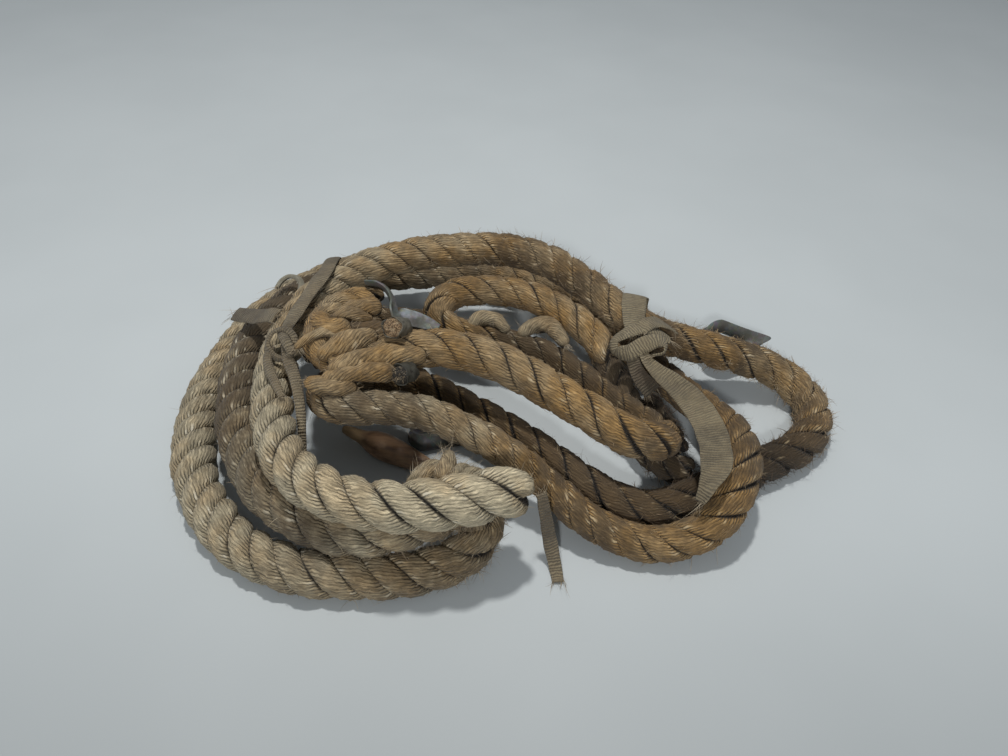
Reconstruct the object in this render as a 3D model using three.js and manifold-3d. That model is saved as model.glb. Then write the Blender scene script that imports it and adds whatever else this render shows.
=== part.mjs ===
// A heap of thick three-strand rope: two lengths, coiled and tied together with webbing,
// with galvanised thimbles and a wooden toggle. Millimetres, +Z up, origin under the middle.
import * as THREE from 'three';
import { mergeVertices } from 'three/addons/utils/BufferGeometryUtils.js';
import Module from 'manifold-3d';

const wasm = await Module();
wasm.setup();

// Driving dimensions
const ROPE_R = 17;             // radius of both ropes, as laid
const ROPE_SIDES = 10;         // sides of a rope's section
const ROPE_STEP = 24;          // distance between the sections along a rope
const PRESS = 1.2;             // how far the bottom turns are flattened by the surface
const WEB_T = 2;               // thickness of the webbing
const RIGHT_W = 28;            // width of the right tie's webbing
const LEFT_W = 18;             // width of the left tie's webbing
const STRAND_R = 8.5;          // radius of one strand of the rope
const HEAP_CENTRE = [11.6, 5.3];   // middle of the heap on the surface, in the routes' own frame

const FLOOR_Z = ROPE_R - PRESS;  // height of the middle of a rope that lies on the surface

// The routes below are hand-placed points [x, y, z] along the middle of each piece, with
// +X to the right and +Y away from the viewer. F marks a height on the surface.
const F = FLOOR_Z;

// Long rope: two wide turns and a doubled middle, bottom turns first.
const LONG_ROUTE = [
  // back turn, on the surface
  [186, 98, F], [160, 124, F], [110, 172, F], [48, 218, F], [-28, 238, F], [-104, 236, F],
  [-190, 205, F], [-240, 160, F], [-276, 102, F], [-292, 40, F],
  // outer front turn, on the surface
  [-298, -25, F], [-292, -82, F], [-277, -128, F], [-254, -166, F], [-225, -196, F],
  [-190, -218, F], [-154, -228, F], [-116, -229, F], [-80, -226, F], [-46, -217, 17],
  // hairpin and second turn, back along the first
  [-20, -203, 24], [-10, -184, 36], [-28, -178, 46], [-60, -194, 47], [-92, -206, 47], [-126, -207, 46],
  [-162, -194, 45], [-194, -170, 43], [-221, -136, 42], [-242, -96, 42], [-254, -52, 42],
  [-260, -10, 44], [-257, 32, 45], [-247, 68, 45], [-228, 106, 45], [-197, 134, 44],
  [-158, 152, 42], [-95, 172, 38], [-25, 184, 34], [47, 164, 30], [104, 118, 25],
  // big bend on the right
  [146, 62, 24], [180, 10, 26], [205, -34, 36], [218, -78, 50], [217, -118, 54],
  [203, -150, 42], [180, -170, 27], [143, -179, F], [106, -175, 19], [75, -164, 29],
  [44, -143, 42], [9, -125, 58], [-27, -113, 72], [-63, -107, 84], [-101, -107, 90],
  // hairpin under the eye and back to the right
  [-140, -106, 86], [-160, -84, 74], [-162, -52, 60], [-142, -28, 50], [-104, -22, 46],
  [-63, -38, 45], [-22, -61, 42], [17, -84, 38], [51, -106, 32], [79, -125, 26],
  [107, -138, 20], [137, -141, F], [166, -132, F], [192, -116, F],
  // right-hand loop
  [224, -97, F], [258, -77, F], [291, -56, F], [314, -28, F], [320, 8, 18],
  [300, 36, 26], [257, 44, 42], [203, 42, 57],
  // top turn over the back, then down the left side and round the front
  [150, 48, 69], [117, 68, 77], [82, 104, 84], [43, 134, 89], [-2, 147, 93], [-52, 143, 93],
  [-101, 133, 91], [-142, 114, 88], [-176, 84, 86], [-197, 50, 84], [-209, 12, 81],
  [-213, -28, 78], [-209, -74, 77], [-197, -120, 78], [-179, -158, 79], [-152, -187, 81],
  [-119, -204, 84], [-82, -210, 86], [-43, -205, 87], [-5, -192, 85], [22, -178, 80],
];

// Short rope: from the neck of its eye splice to the right, and back in two layers.
const SHORT_ROUTE = [
  [-112, -56, 106], [-78, -45, 106], [-46, -42, 105], [-5, -51, 101], [37, -71, 93], [78, -92, 84],
  [110, -108, 76], [138, -105, 66], [149, -84, 50], [136, -58, 40],
  [108, -30, 38], [78, 0, 40], [44, 28, 42], [-4, 44, 44], [-46, 47, 50],
  [-73, 60, 60], [-66, 84, 70], [-24, 96, 74], [22, 89, 74], [62, 68, 70], [90, 40, 64], [108, 12, 57],
];

// The eye of the short rope, from the neck round the thimble and back.
const EYE_ROUTE = [
  [-108, -54, 106], [-138, -72, 106], [-163, -59, 106], [-173, -30, 107],
  [-165, 2, 107], [-145, 19, 107], [-124, 17, 106],
];

// Long rope's doubled end, where its strands are tucked back and it is thicker.
const TUCKED_R = 20;
const TUCKED_POINTS = 5;

// What shows of the eye's thimble: its rim round the strand ends, then its flattened side.
const EYE_GUTTER = {
  points: [[-138, 24, 126], [-124, 20, 127], [-115, 12, 124], [-110, 2, 120], [-107, -8, 116], [-99, -10, 114], [-82, -11, 111], [-64, -16, 108]],
  facings: [[0.1, 0.6, 0.7], [0.3, 0.5, 0.6], [0.6, 0.4, 0.4], [0.7, 0.3, 0.3], [0.7, 0.1, 0.4], [0.3, -0.2, 0.9], [0, -0.3, 1], [0, -0.3, 1]],
};

// Straps: the points along the middle, and the way the face points at each of them.
const RIGHT_BAND = {
  points: [[136, 79, 68], [135, 80, 84], [132, 72, 97], [128, 52, 101], [126, 25, 97]],
  facings: [[0.5, 0.8, 0], [0.5, 0.7, 0.4], [0.1, 0.3, 0.9], [-0.1, -0.1, 1], [-0.1, -0.3, 0.9]],
};
const RIGHT_TAIL = {
  points: [[134, -17, 85], [144, -28, 82], [158, -41, 78], [173, -59, 76], [184, -88, 75], [187, -119, 75], [184, -142, 74], [176, -158, 68]],
  facings: [[0, -0.3, 1], [-0.1, -0.4, 0.9], [-0.1, -0.3, 0.9], [-0.1, -0.3, 1], [-0.1, -0.2, 1], [-0.1, -0.2, 1], [-0.3, -0.2, 0.9], [-0.5, -0.2, 0.8]],
};
const RIGHT_STUB = {
  points: [[122, -13, 84], [130, -24, 72], [144, -34, 60]],
  facings: [[0.1, -0.5, 0.8], [-0.5, -0.4, 0.8], [-0.5, -0.4, 0.8]],
};
const LEFT_BAND = {
  points: [[-184, 110, 92], [-187, 98, 101], [-189, 69, 107], [-194, 38, 108], [-200, 10, 106], [-204, -14, 105], [-203, -33, 106]],
  facings: [[-0.6, 0.6, 0.5], [-0.3, 0.2, 0.9], [-0.3, 0, 1], [-0.2, 0, 1], [-0.2, 0, 1], [-0.2, 0, 1], [-0.2, -0.2, 1]],
};
const LEFT_FLAT_TAIL = {
  points: [[-228, 0, 98], [-240, 8, 88], [-258, 21, 78], [-278, 33, 70]],
  facings: [[-0.5, -0.2, 0.8], [-0.5, -0.2, 0.8], [-0.4, -0.2, 0.9], [-0.3, -0.2, 0.9]],
};
const LEFT_TAIL = {
  points: [[-193, -69, 104], [-183, -88, 100], [-175, -109, 89], [-169, -129, 70], [-165, -146, 50]],
  facings: [[0.3, -0.7, 0.6], [0.3, -0.6, 0.7], [0.3, -0.8, 0.5], [0.3, -0.8, 0.5], [0.3, -0.8, 0.4]],
};
const LEFT_LOOP = {
  points: [[-202, -68, 103], [-203, -88, 99], [-196, -106, 98]],
  facings: [[0, -0.3, 1], [0, -0.3, 1], [0, -0.3, 1]],
};
const HANGING_TAIL = {
  points: [[39, -176, 62], [43, -180, 42], [48, -187, 20], [53, -196, 6], [56, -212, 2]],
  facings: [[0.2, -1, 0.2], [0.2, -1, 0.3], [0.2, -1, 0.4], [0.2, -0.7, 0.7], [0, -0.1, 1]],
};

/** A Catmull-Rom curve through hand-placed points. */
function route(points) {
  return new THREE.CatmullRomCurve3(points.map((p) => new THREE.Vector3(...p)), false, 'centripetal');
}

/** A regular polygon of the given radius. */
function polygon(radius, sides) {
  const corners = Array.from({ length: sides }, (_, i) => {
    const angle = (2 * Math.PI * i) / sides;
    return new THREE.Vector2(radius * Math.cos(angle), radius * Math.sin(angle));
  });
  return new THREE.Shape(corners);
}

/** A round tube along a route. */
function tube(points, radius, step = ROPE_STEP, sides = ROPE_SIDES) {
  const curve = route(points);
  const steps = Math.max(2, Math.round(curve.getLength() / step));
  return new THREE.ExtrudeGeometry(polygon(radius, sides), { steps, extrudePath: curve });
}

/**
 * A flat strap along a route. Each point of the route has a direction that the strap's face
 * points to, and the strap's width lies across it.
 */
function strap(points, facings, width, thickness = WEB_T, step = 9) {
  const curve = route(points);
  const faces = route(facings);
  const steps = Math.max(3, Math.round(curve.getLength() / step));
  curve.computeFrenetFrames = (count) => {
    const tangents = [];
    const normals = [];
    const binormals = [];
    for (let i = 0; i <= count; i += 1) {
      const tangent = curve.getTangentAt(i / count);
      const facing = faces.getPoint(curve.getUtoTmapping(i / count));
      const binormal = tangent.clone().cross(facing).normalize();
      tangents.push(tangent);
      binormals.push(binormal);
      normals.push(binormal.clone().cross(tangent).normalize());
    }
    return { tangents, normals, binormals };
  };
  const section = new THREE.Shape([
    new THREE.Vector2(-thickness / 2, -width / 2), new THREE.Vector2(thickness / 2, -width / 2),
    new THREE.Vector2(thickness / 2, width / 2), new THREE.Vector2(-thickness / 2, width / 2),
  ]);
  return new THREE.ExtrudeGeometry(section, { steps, extrudePath: curve });
}

/** A closed mesh as a manifold-3d solid. */
function solid(geometry) {
  const bare = geometry.clone();
  bare.deleteAttribute('normal');
  bare.deleteAttribute('uv');
  const merged = mergeVertices(bare, 1e-4);
  const vertProperties = new Float32Array(merged.attributes.position.array);
  const triVerts = new Uint32Array(merged.index.array);
  return new wasm.Manifold(new wasm.Mesh({ numProp: 3, vertProperties, triVerts }));
}

/** A manifold-3d solid as a three.js geometry. */
function geometryOf(body) {
  const mesh = body.getMesh();
  const geometry = new THREE.BufferGeometry();
  geometry.setAttribute('position', new THREE.BufferAttribute(mesh.vertProperties, 3));
  geometry.setIndex(new THREE.BufferAttribute(mesh.triVerts, 1));
  return geometry;
}

/** What lies below the surface, to cut the flattened undersides. */
function underground() {
  const ground = new THREE.BoxGeometry(1200, 1200, 60);
  ground.translate(0, 0, -30);
  return solid(ground);
}

/**
 * A pear-shaped channel ring: the round end has the given radius, and the far end is drawn
 * out to the given length. Its axis is Z and its point lies along +X.
 */
function thimbleGeometry(radius, length, width, wall = 3) {
  const half = width / 2;
  const profile = [
    [radius - 9, -half * 0.5], [radius, -half], [radius + wall, -half + 1], [radius - 9 + wall, -half * 0.4],
    [radius - 9 + wall, half * 0.4], [radius + wall, half - 1], [radius, half], [radius - 9, half * 0.5],
  ].map(([r, z]) => new THREE.Vector2(r, z));
  profile.push(profile[0].clone());
  const ring = new THREE.LatheGeometry(profile, 28);
  ring.rotateX(Math.PI / 2);
  const position = ring.attributes.position;
  const stretch = (length - radius) / radius;
  for (let i = 0; i < position.count; i += 1) {
    const x = position.getX(i);
    if (x > 0) {
      const along = x / radius;
      position.setX(i, x * stretch);
      position.setY(i, position.getY(i) * (1 - 0.6 * along * along));
    }
  }
  return ring;
}

const COLOURS = {
  rope: 0xa08c6c, shortRope: 0xa5824f, webbing: 0x8f8570, leftWebbing: 0x86765c,
  steel: 0x8f9492, wood: 0x6f4d31, tape: 0x55534c,
};

/** A named mesh with its own material. */
function piece(name, geometry, color, roughness = 0.9, metalness = 0) {
  const mesh = new THREE.Mesh(geometry, new THREE.MeshStandardMaterial({ color, roughness, metalness }));
  mesh.name = name;
  return mesh;
}

/** The two ropes, cut flat where they lie on the surface. */
function ropes() {
  const ground = underground();
  const tucked = solid(tube(LONG_ROUTE.slice(-TUCKED_POINTS), TUCKED_R));
  const long = solid(tube(LONG_ROUTE, ROPE_R)).add(tucked).subtract(ground);
  const short = solid(tube(SHORT_ROUTE, ROPE_R)).add(solid(tube(EYE_ROUTE, ROPE_R - 1)));
  return [
    piece('long_rope', geometryOf(long), COLOURS.rope),
    piece('short_rope', geometryOf(short), COLOURS.shortRope),
  ];
}

/** A strap piece from its named points and facings. */
function strapPiece(name, line, width, color) {
  return piece(name, strap(line.points, line.facings, width), color);
}

/** A knot of webbing as one rounded lump. */
function knot(name, centre, radii, color) {
  const lump = new THREE.SphereGeometry(1, 14, 10);
  lump.scale(...radii);
  lump.translate(...centre);
  return piece(name, lump, color);
}

/** The wide webbing round the right-hand side: band, knot and two tails. */
function rightTie() {
  return [
    strapPiece('right_tie_band', RIGHT_BAND, RIGHT_W * 0.9, COLOURS.webbing),
    knot('right_tie_knot', [131, 4, 90], [28, 13, 12], COLOURS.webbing),
    strapPiece('right_tie_tail', RIGHT_TAIL, RIGHT_W, COLOURS.webbing),
    strapPiece('right_tie_stub', RIGHT_STUB, RIGHT_W * 0.6, COLOURS.webbing),
  ];
}

/** The narrower webbing round the left-hand side. */
function leftTie() {
  const curl = tube([[-251, 90, 67], [-247, 104, 71], [-235, 107, 73], [-227, 93, 73], [-228, 77, 72]], 4, 8, 8);
  return [
    strapPiece('left_tie_band', LEFT_BAND, LEFT_W, COLOURS.leftWebbing),
    knot('left_tie_knot', [-201, -52, 108], [11, 12, 11], COLOURS.leftWebbing),
    strapPiece('left_tie_flat_tail', LEFT_FLAT_TAIL, LEFT_W, COLOURS.leftWebbing),
    strapPiece('left_tie_tail', LEFT_TAIL, LEFT_W * 0.45, COLOURS.leftWebbing),
    strapPiece('left_tie_loop', LEFT_LOOP, LEFT_W * 0.35, COLOURS.leftWebbing),
    piece('left_tie_curl', curl, COLOURS.leftWebbing),
  ];
}

/** A thimble: a pear-shaped galvanised ring with a hollow rim, turned and placed. */
function thimble(name, radius, length, width, turn, centre) {
  const ring = thimbleGeometry(radius, length, width);
  const mesh = piece(name, ring, COLOURS.steel, 0.45, 0.8);
  mesh.rotation.set(...turn.map(THREE.MathUtils.degToRad), 'ZYX');
  mesh.position.set(...centre);
  return mesh;
}

/** The brown pear-shaped toggle, its axis along X before it is turned. */
function toggle() {
  const outline = [
    [0, 0], [4, 0], [5.5, 8], [7, 24], [11.5, 32], [13.4, 42], [13.4, 52], [12, 64], [9.8, 78], [8, 92], [6, 100], [0, 103],
  ];
  const body = new THREE.LatheGeometry(outline.map(([r, y]) => new THREE.Vector2(r, y)), 16);
  body.rotateZ(-Math.PI / 2);
  const mesh = piece('toggle', body, COLOURS.wood, 0.6);
  mesh.rotation.set(...[0, 3.4, -23].map(THREE.MathUtils.degToRad), 'ZYX');
  mesh.position.set(-153, -67, 17);
  return mesh;
}

/** One bound strand end on the eye splice, between two points. */
function strandEnd(name, from, to) {
  return piece(name, tube([from, to], STRAND_R, 30, 12), COLOURS.tape, 0.7);
}

const heap = new THREE.Group();
const placed = new THREE.Group();
placed.position.set(-HEAP_CENTRE[0], -HEAP_CENTRE[1], 0);
placed.add(...ropes(), ...rightTie(), ...leftTie());
placed.add(
  piece('eye_thimble', strap(EYE_GUTTER.points, EYE_GUTTER.facings, 15, 2.4), COLOURS.steel, 0.45, 0.8),
  thimble('loop_thimble', 26, 66, 22, [35, 0, 10], [238, 86, 29]),
  thimble('low_thimble', 21, 46, 24, [0, 0, -10], [-72, -57, 13]),
  toggle(),
  strandEnd('strand_end_upper', [-106, -52, 132.5], [-78, -44, 132]),
  strandEnd('strand_end_lower', [-96, -93, 114], [-74, -84, 113]),
  strapPiece('hanging_tail', HANGING_TAIL, 14, COLOURS.leftWebbing),
);
heap.add(placed);

export default heap;
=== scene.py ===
"""Looks for a heap of thick three-strand rope, coiled, frayed and tied up with webbing.

The ropes are laid up strand by strand along the routes that the frame's solids follow, and the
webbing, thimbles, toggle and bound strand ends are made round them. Lengths are in metres.
"""

import logging
import math
from dataclasses import dataclass, field
from enum import Enum
from typing import Sequence

import bmesh
import bpy
import numpy as np
from mathutils import Matrix


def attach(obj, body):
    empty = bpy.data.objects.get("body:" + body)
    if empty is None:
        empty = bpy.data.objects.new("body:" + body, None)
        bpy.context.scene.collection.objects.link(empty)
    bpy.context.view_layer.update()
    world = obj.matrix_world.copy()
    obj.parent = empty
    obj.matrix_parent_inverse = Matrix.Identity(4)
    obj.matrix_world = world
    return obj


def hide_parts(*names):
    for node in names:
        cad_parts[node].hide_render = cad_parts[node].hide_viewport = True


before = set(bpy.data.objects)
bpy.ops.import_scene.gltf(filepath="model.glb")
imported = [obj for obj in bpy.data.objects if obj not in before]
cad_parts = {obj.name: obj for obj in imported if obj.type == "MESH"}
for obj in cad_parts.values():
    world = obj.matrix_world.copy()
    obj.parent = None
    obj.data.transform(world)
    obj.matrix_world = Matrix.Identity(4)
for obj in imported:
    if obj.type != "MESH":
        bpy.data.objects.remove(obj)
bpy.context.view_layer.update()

LOG = logging.getLogger("rope_heap")
MM = 0.001
HEAP_CENTRE = (11.6, 5.3)  # where the heap's middle is in the routes, in millimetres
LOW = 15.8  # the height of the middle of a rope that lies on the floor, in millimetres
FLOOR_GAP = 0.0002  # the lowest that a strand or a strap reaches, in metres
LONGEST_NAP = 0.012  # a fibre that stands off a rope, in metres
LONGEST_FIBRE = 0.02  # a fibre that hangs out of a frayed end, in metres
STRAP_THREADS = 26  # at each end of a strap
THREAD_REACH = 0.006  # the usual length of a strap's threads, in metres
CURVE_PARTS = 24  # the parts into which the curve between two route points is cut
SEED = 7

Point = tuple[float, float, float]

# ---------------------------------------------------------------------------------------------
# Routes, in millimetres, as they are laid in the frame
# ---------------------------------------------------------------------------------------------

LONG_ROUTE: list[Point] = [
    # back turn, on the surface
    (186, 98, LOW), (160, 124, LOW), (110, 172, LOW), (48, 218, LOW), (-28, 238, LOW), (-104, 236, LOW),
    (-190, 205, LOW), (-240, 160, LOW), (-276, 102, LOW), (-292, 40, LOW),
    # outer front turn, on the surface
    (-298, -25, LOW), (-292, -82, LOW), (-277, -128, LOW), (-254, -166, LOW), (-225, -196, LOW),
    (-190, -218, LOW), (-154, -228, LOW), (-116, -229, LOW), (-80, -226, LOW), (-46, -217, 17),
    # sharp turn, then the second turn back along the first
    (-20, -203, 24), (-10, -184, 36), (-28, -178, 46), (-60, -194, 47), (-92, -206, 47),
    (-126, -207, 46), (-162, -194, 45), (-194, -170, 43), (-221, -136, 42), (-242, -96, 42),
    (-254, -52, 42), (-260, -10, 44), (-257, 32, 45), (-247, 68, 45), (-228, 106, 45), (-197, 134, 44),
    (-158, 152, 42), (-95, 172, 38), (-25, 184, 34), (47, 164, 30), (104, 118, 25),
    # big bend on the right
    (146, 62, 24), (180, 10, 26), (205, -34, 36), (218, -78, 50), (217, -118, 54), (203, -150, 42),
    (180, -170, 27), (143, -179, LOW), (106, -175, 19), (75, -164, 29), (44, -143, 42), (9, -125, 58),
    (-27, -113, 72), (-63, -107, 84), (-101, -107, 90),
    # hairpin under the eye and back to the right
    (-140, -106, 86), (-160, -84, 74), (-162, -52, 60), (-142, -28, 50), (-104, -22, 46),
    (-63, -38, 45), (-22, -61, 42), (17, -84, 38), (51, -106, 32), (79, -125, 26), (107, -138, 20),
    (137, -141, LOW), (166, -132, LOW), (192, -116, LOW),
    # right-hand loop
    (224, -97, LOW), (258, -77, LOW), (291, -56, LOW), (314, -28, LOW), (320, 8, 18), (300, 36, 26),
    (257, 44, 42), (203, 42, 57),
    # top turn over the back, then down the left side and round the front
    (150, 48, 69), (117, 68, 77), (82, 104, 84), (43, 134, 89), (-2, 147, 93), (-52, 143, 93),
    (-101, 133, 91), (-142, 114, 88), (-176, 84, 86), (-197, 50, 84), (-209, 12, 81), (-213, -28, 78),
    (-209, -74, 77), (-197, -120, 78), (-179, -158, 79), (-152, -187, 81), (-119, -204, 84),
    (-82, -210, 86), (-43, -205, 87), (-5, -192, 85), (22, -178, 80),
]

SHORT_ROUTE: list[Point] = [
    (-112, -56, 106), (-78, -45, 106), (-46, -42, 105), (-5, -51, 101), (37, -71, 93), (78, -92, 84),
    (110, -108, 76), (138, -105, 66), (149, -84, 50), (136, -58, 40),
    (108, -30, 38), (78, 0, 40), (44, 28, 42), (-4, 44, 44), (-46, 47, 50),
    (-73, 60, 60), (-66, 84, 70), (-24, 96, 74), (22, 89, 74), (62, 68, 70), (90, 40, 64),
    (108, 12, 57),
]

EYE_ROUTE: list[Point] = [
    (-108, -54, 106), (-138, -72, 106), (-163, -59, 106), (-173, -30, 107),
    (-165, 2, 107), (-145, 19, 107), (-124, 17, 106),
]


def placed(points: Sequence[Point]) -> np.ndarray:
    """Routes turned into metres in the row frame.

    Args:
        points: places in millimetres, before the heap is centred.

    Returns:
        An array of places in metres.
    """
    offset = np.array([HEAP_CENTRE[0], HEAP_CENTRE[1], 0.0])
    return (np.asarray(points, dtype=float) - offset) * MM


def step_lengths(line: np.ndarray) -> np.ndarray:
    """The length of each step of a line."""
    return np.linalg.norm(np.diff(line, axis=0), axis=1)


def running(steps: np.ndarray) -> np.ndarray:
    """The running total of some steps, from zero."""
    return np.concatenate([[0.0], np.cumsum(steps)])


def nearest(line: np.ndarray, points: np.ndarray) -> list[int]:
    """The number of the place on a line that is nearest to each point."""
    return [int(np.argmin(np.linalg.norm(line - point, axis=1))) for point in points]


def spread(values: Sequence[float], along: np.ndarray) -> np.ndarray:
    """Values that are evenly spaced from end to end of a line, read at each of its places.

    Args:
        values: the values.
        along: the distance of each place from the line's start.

    Returns:
        A value for each place.
    """
    return np.interp(along, np.linspace(0, along[-1], len(values)), values)


def domed(size: np.ndarray, along: np.ndarray, least: float) -> np.ndarray:
    """Radii drawn in to a dome at both ends of a line.

    Args:
        size: the radii.
        along: the distance of each place from the line's start.
        least: how little of the radius is left at the very end, squared.

    Returns:
        The radii.
    """
    to_end = np.minimum(along, along[-1] - along) / size
    return size * np.sqrt(np.clip(1 - (1 - np.minimum(to_end, 1.0)) ** 2, least, 1.0))


def smooth_line(points: np.ndarray, spacing: float) -> np.ndarray:
    """A centripetal curve through points, cut into even steps.

    Args:
        points: the places it passes through, in metres.
        spacing: the wanted step.

    Returns:
        Places along the curve, evenly spaced.
    """
    ends = np.vstack([2 * points[0] - points[1], points, 2 * points[-1] - points[-2]])
    pieces = []
    for i in range(1, len(points)):
        p0, p1, p2, p3 = ends[i - 1 : i + 3]
        t1 = math.sqrt(np.linalg.norm(p1 - p0))
        t2 = t1 + math.sqrt(np.linalg.norm(p2 - p1))
        t3 = t2 + math.sqrt(np.linalg.norm(p3 - p2))
        t = np.linspace(t1, t2, CURVE_PARTS, endpoint=False)[:, None]
        a1 = (t1 - t) / t1 * p0 + t / t1 * p1
        a2 = (t2 - t) / (t2 - t1) * p1 + (t - t1) / (t2 - t1) * p2
        a3 = (t3 - t) / (t3 - t2) * p2 + (t - t2) / (t3 - t2) * p3
        b1 = (t2 - t) / t2 * a1 + t / t2 * a2
        b2 = (t3 - t) / (t3 - t1) * a2 + (t - t1) / (t3 - t1) * a3
        pieces.append((t2 - t) / (t2 - t1) * b1 + (t - t1) / (t2 - t1) * b2)
    dense = np.vstack([*pieces, points[-1][None]])
    along = running(step_lengths(dense))
    count = max(2, round(along[-1] / spacing))
    even = np.linspace(0, along[-1], count + 1)
    return np.stack([np.interp(even, along, dense[:, k]) for k in range(3)], axis=1)


def unit(vectors: np.ndarray) -> np.ndarray:
    """Vectors scaled to length one."""
    return vectors / np.maximum(np.linalg.norm(vectors, axis=-1, keepdims=True), 1e-12)


def square_to(vectors: np.ndarray, ways: np.ndarray) -> np.ndarray:
    """Vectors turned square to the given directions, and scaled to length one."""
    return unit(vectors - ways * np.sum(vectors * ways, axis=1, keepdims=True))


def carried_frames(line: np.ndarray) -> tuple[np.ndarray, np.ndarray, np.ndarray]:
    """Directions along and across a line, carried along it without twist.

    Args:
        line: places along the line.

    Returns:
        The tangents, the normals and the binormals.
    """
    tangents = unit(np.gradient(line, axis=0))
    normals = np.zeros_like(line)
    normals[0] = unit(np.cross(tangents[0], [0.0, 0.0, 1.0]))
    for i in range(1, len(line)):
        carried = normals[i - 1] - tangents[i] * normals[i - 1].dot(tangents[i])
        normals[i] = carried / np.linalg.norm(carried)
    return tangents, normals, np.cross(tangents, normals)


def wander(rng: np.random.Generator, count: int, wave: float) -> np.ndarray:
    """Smooth uneven values between about -1 and 1.

    Args:
        rng: the seeded source.
        count: how many values.
        wave: how many values one bump takes.

    Returns:
        The values.
    """
    knots = max(4, int(count / wave) + 3)
    x = np.linspace(0, knots - 1.001, count)
    low = np.floor(x).astype(int)
    t = x - low
    t = t * t * (3 - 2 * t)
    values = rng.uniform(-1, 1, knots + 1)
    return values[low] * (1 - t) + values[low + 1] * t


def mesh_piece(
    name: str,
    places: np.ndarray,
    faces: Sequence[Sequence[int]],
    uv: np.ndarray | None = None,
    tone: np.ndarray | None = None,
    smooth: bool = True,
) -> bpy.types.Object:
    """A new mesh object in the scene.

    Args:
        name: the piece's name.
        places: its vertices.
        faces: its faces, as vertex numbers.
        uv: two numbers for each vertex.
        tone: four numbers for each vertex: tan, dirt with painted light and shade, depth (the angle round
            a strand, from which the rope finish paints glints and groove shade) and one that isn't read.
        smooth: whether its faces are shaded smooth.

    Returns:
        The object.
    """
    mesh = bpy.data.meshes.new(name)
    mesh.from_pydata(places.tolist(), [], [list(f) for f in faces])
    if uv is not None:
        layer = mesh.uv_layers.new(name="lay")
        loops = np.zeros(len(mesh.loops), dtype=np.int32)
        mesh.loops.foreach_get("vertex_index", loops)
        layer.data.foreach_set("uv", np.asarray(uv, dtype=np.float32)[loops].ravel())
    if tone is not None:
        layer = mesh.color_attributes.new("tone", "FLOAT_COLOR", "POINT")
        layer.data.foreach_set("color", np.asarray(tone, dtype=np.float32).ravel())
    mesh.polygons.foreach_set("use_smooth", [smooth] * len(mesh.polygons))
    mesh.update()
    piece = bpy.data.objects.new(name, mesh)
    bpy.context.collection.objects.link(piece)
    return piece


def grid_faces(rows: int, cols: int) -> np.ndarray:
    """The corners of each cell of a grid of vertices, numbered row by row."""
    grid = np.arange(rows * cols).reshape(rows, cols)
    return np.stack([grid[:-1, :-1], grid[:-1, 1:], grid[1:, 1:], grid[1:, :-1]], axis=-1).reshape(-1, 4)


def close_seams(piece: bpy.types.Object) -> None:
    """Merges corners that lie on each other, keeping their UVs apart, and turns the faces outward."""
    bm = bmesh.new()
    bm.from_mesh(piece.data)
    bmesh.ops.remove_doubles(bm, verts=bm.verts, dist=1e-6)
    bmesh.ops.recalc_face_normals(bm, faces=bm.faces)
    bm.to_mesh(piece.data)
    bm.free()


def capped_tubes(name: str, tubes: Sequence[dict[str, np.ndarray]]) -> bpy.types.Object:
    """Rows of rings made one mesh of closed tubes.

    Args:
        name: the piece's name.
        tubes: the places, UVs and tones of each tube's rings, by name.

    Returns:
        The object.
    """
    places, uvs, tones, faces = [], [], [], []
    for tube in tubes:
        rings = tube["places"]
        rows, cols = rings.shape[:2]
        base = sum(len(part) for part in places)
        places += [rings.reshape(-1, 3), np.stack([rings[0].mean(axis=0), rings[-1].mean(axis=0)])]
        uvs += [tube["uv"].reshape(-1, 2), tube["uv"][[0, -1], cols // 2]]
        tones += [tube["tone"].reshape(-1, 4), tube["tone"][[0, -1], cols // 2]]
        faces += (grid_faces(rows, cols) + base).tolist()
        for row, cap in ((0, base + rows * cols), (rows - 1, base + rows * cols + 1)):
            first = base + row * cols
            faces += [(first + i, first + i + 1, cap) for i in range(cols - 1)]
    piece = mesh_piece(name, np.vstack(places), faces, np.vstack(uvs), np.vstack(tones))
    close_seams(piece)
    return piece


# ---------------------------------------------------------------------------------------------
# Shader building
# ---------------------------------------------------------------------------------------------

Socket = bpy.types.NodeSocket
Colour = tuple[float, float, float]


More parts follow.
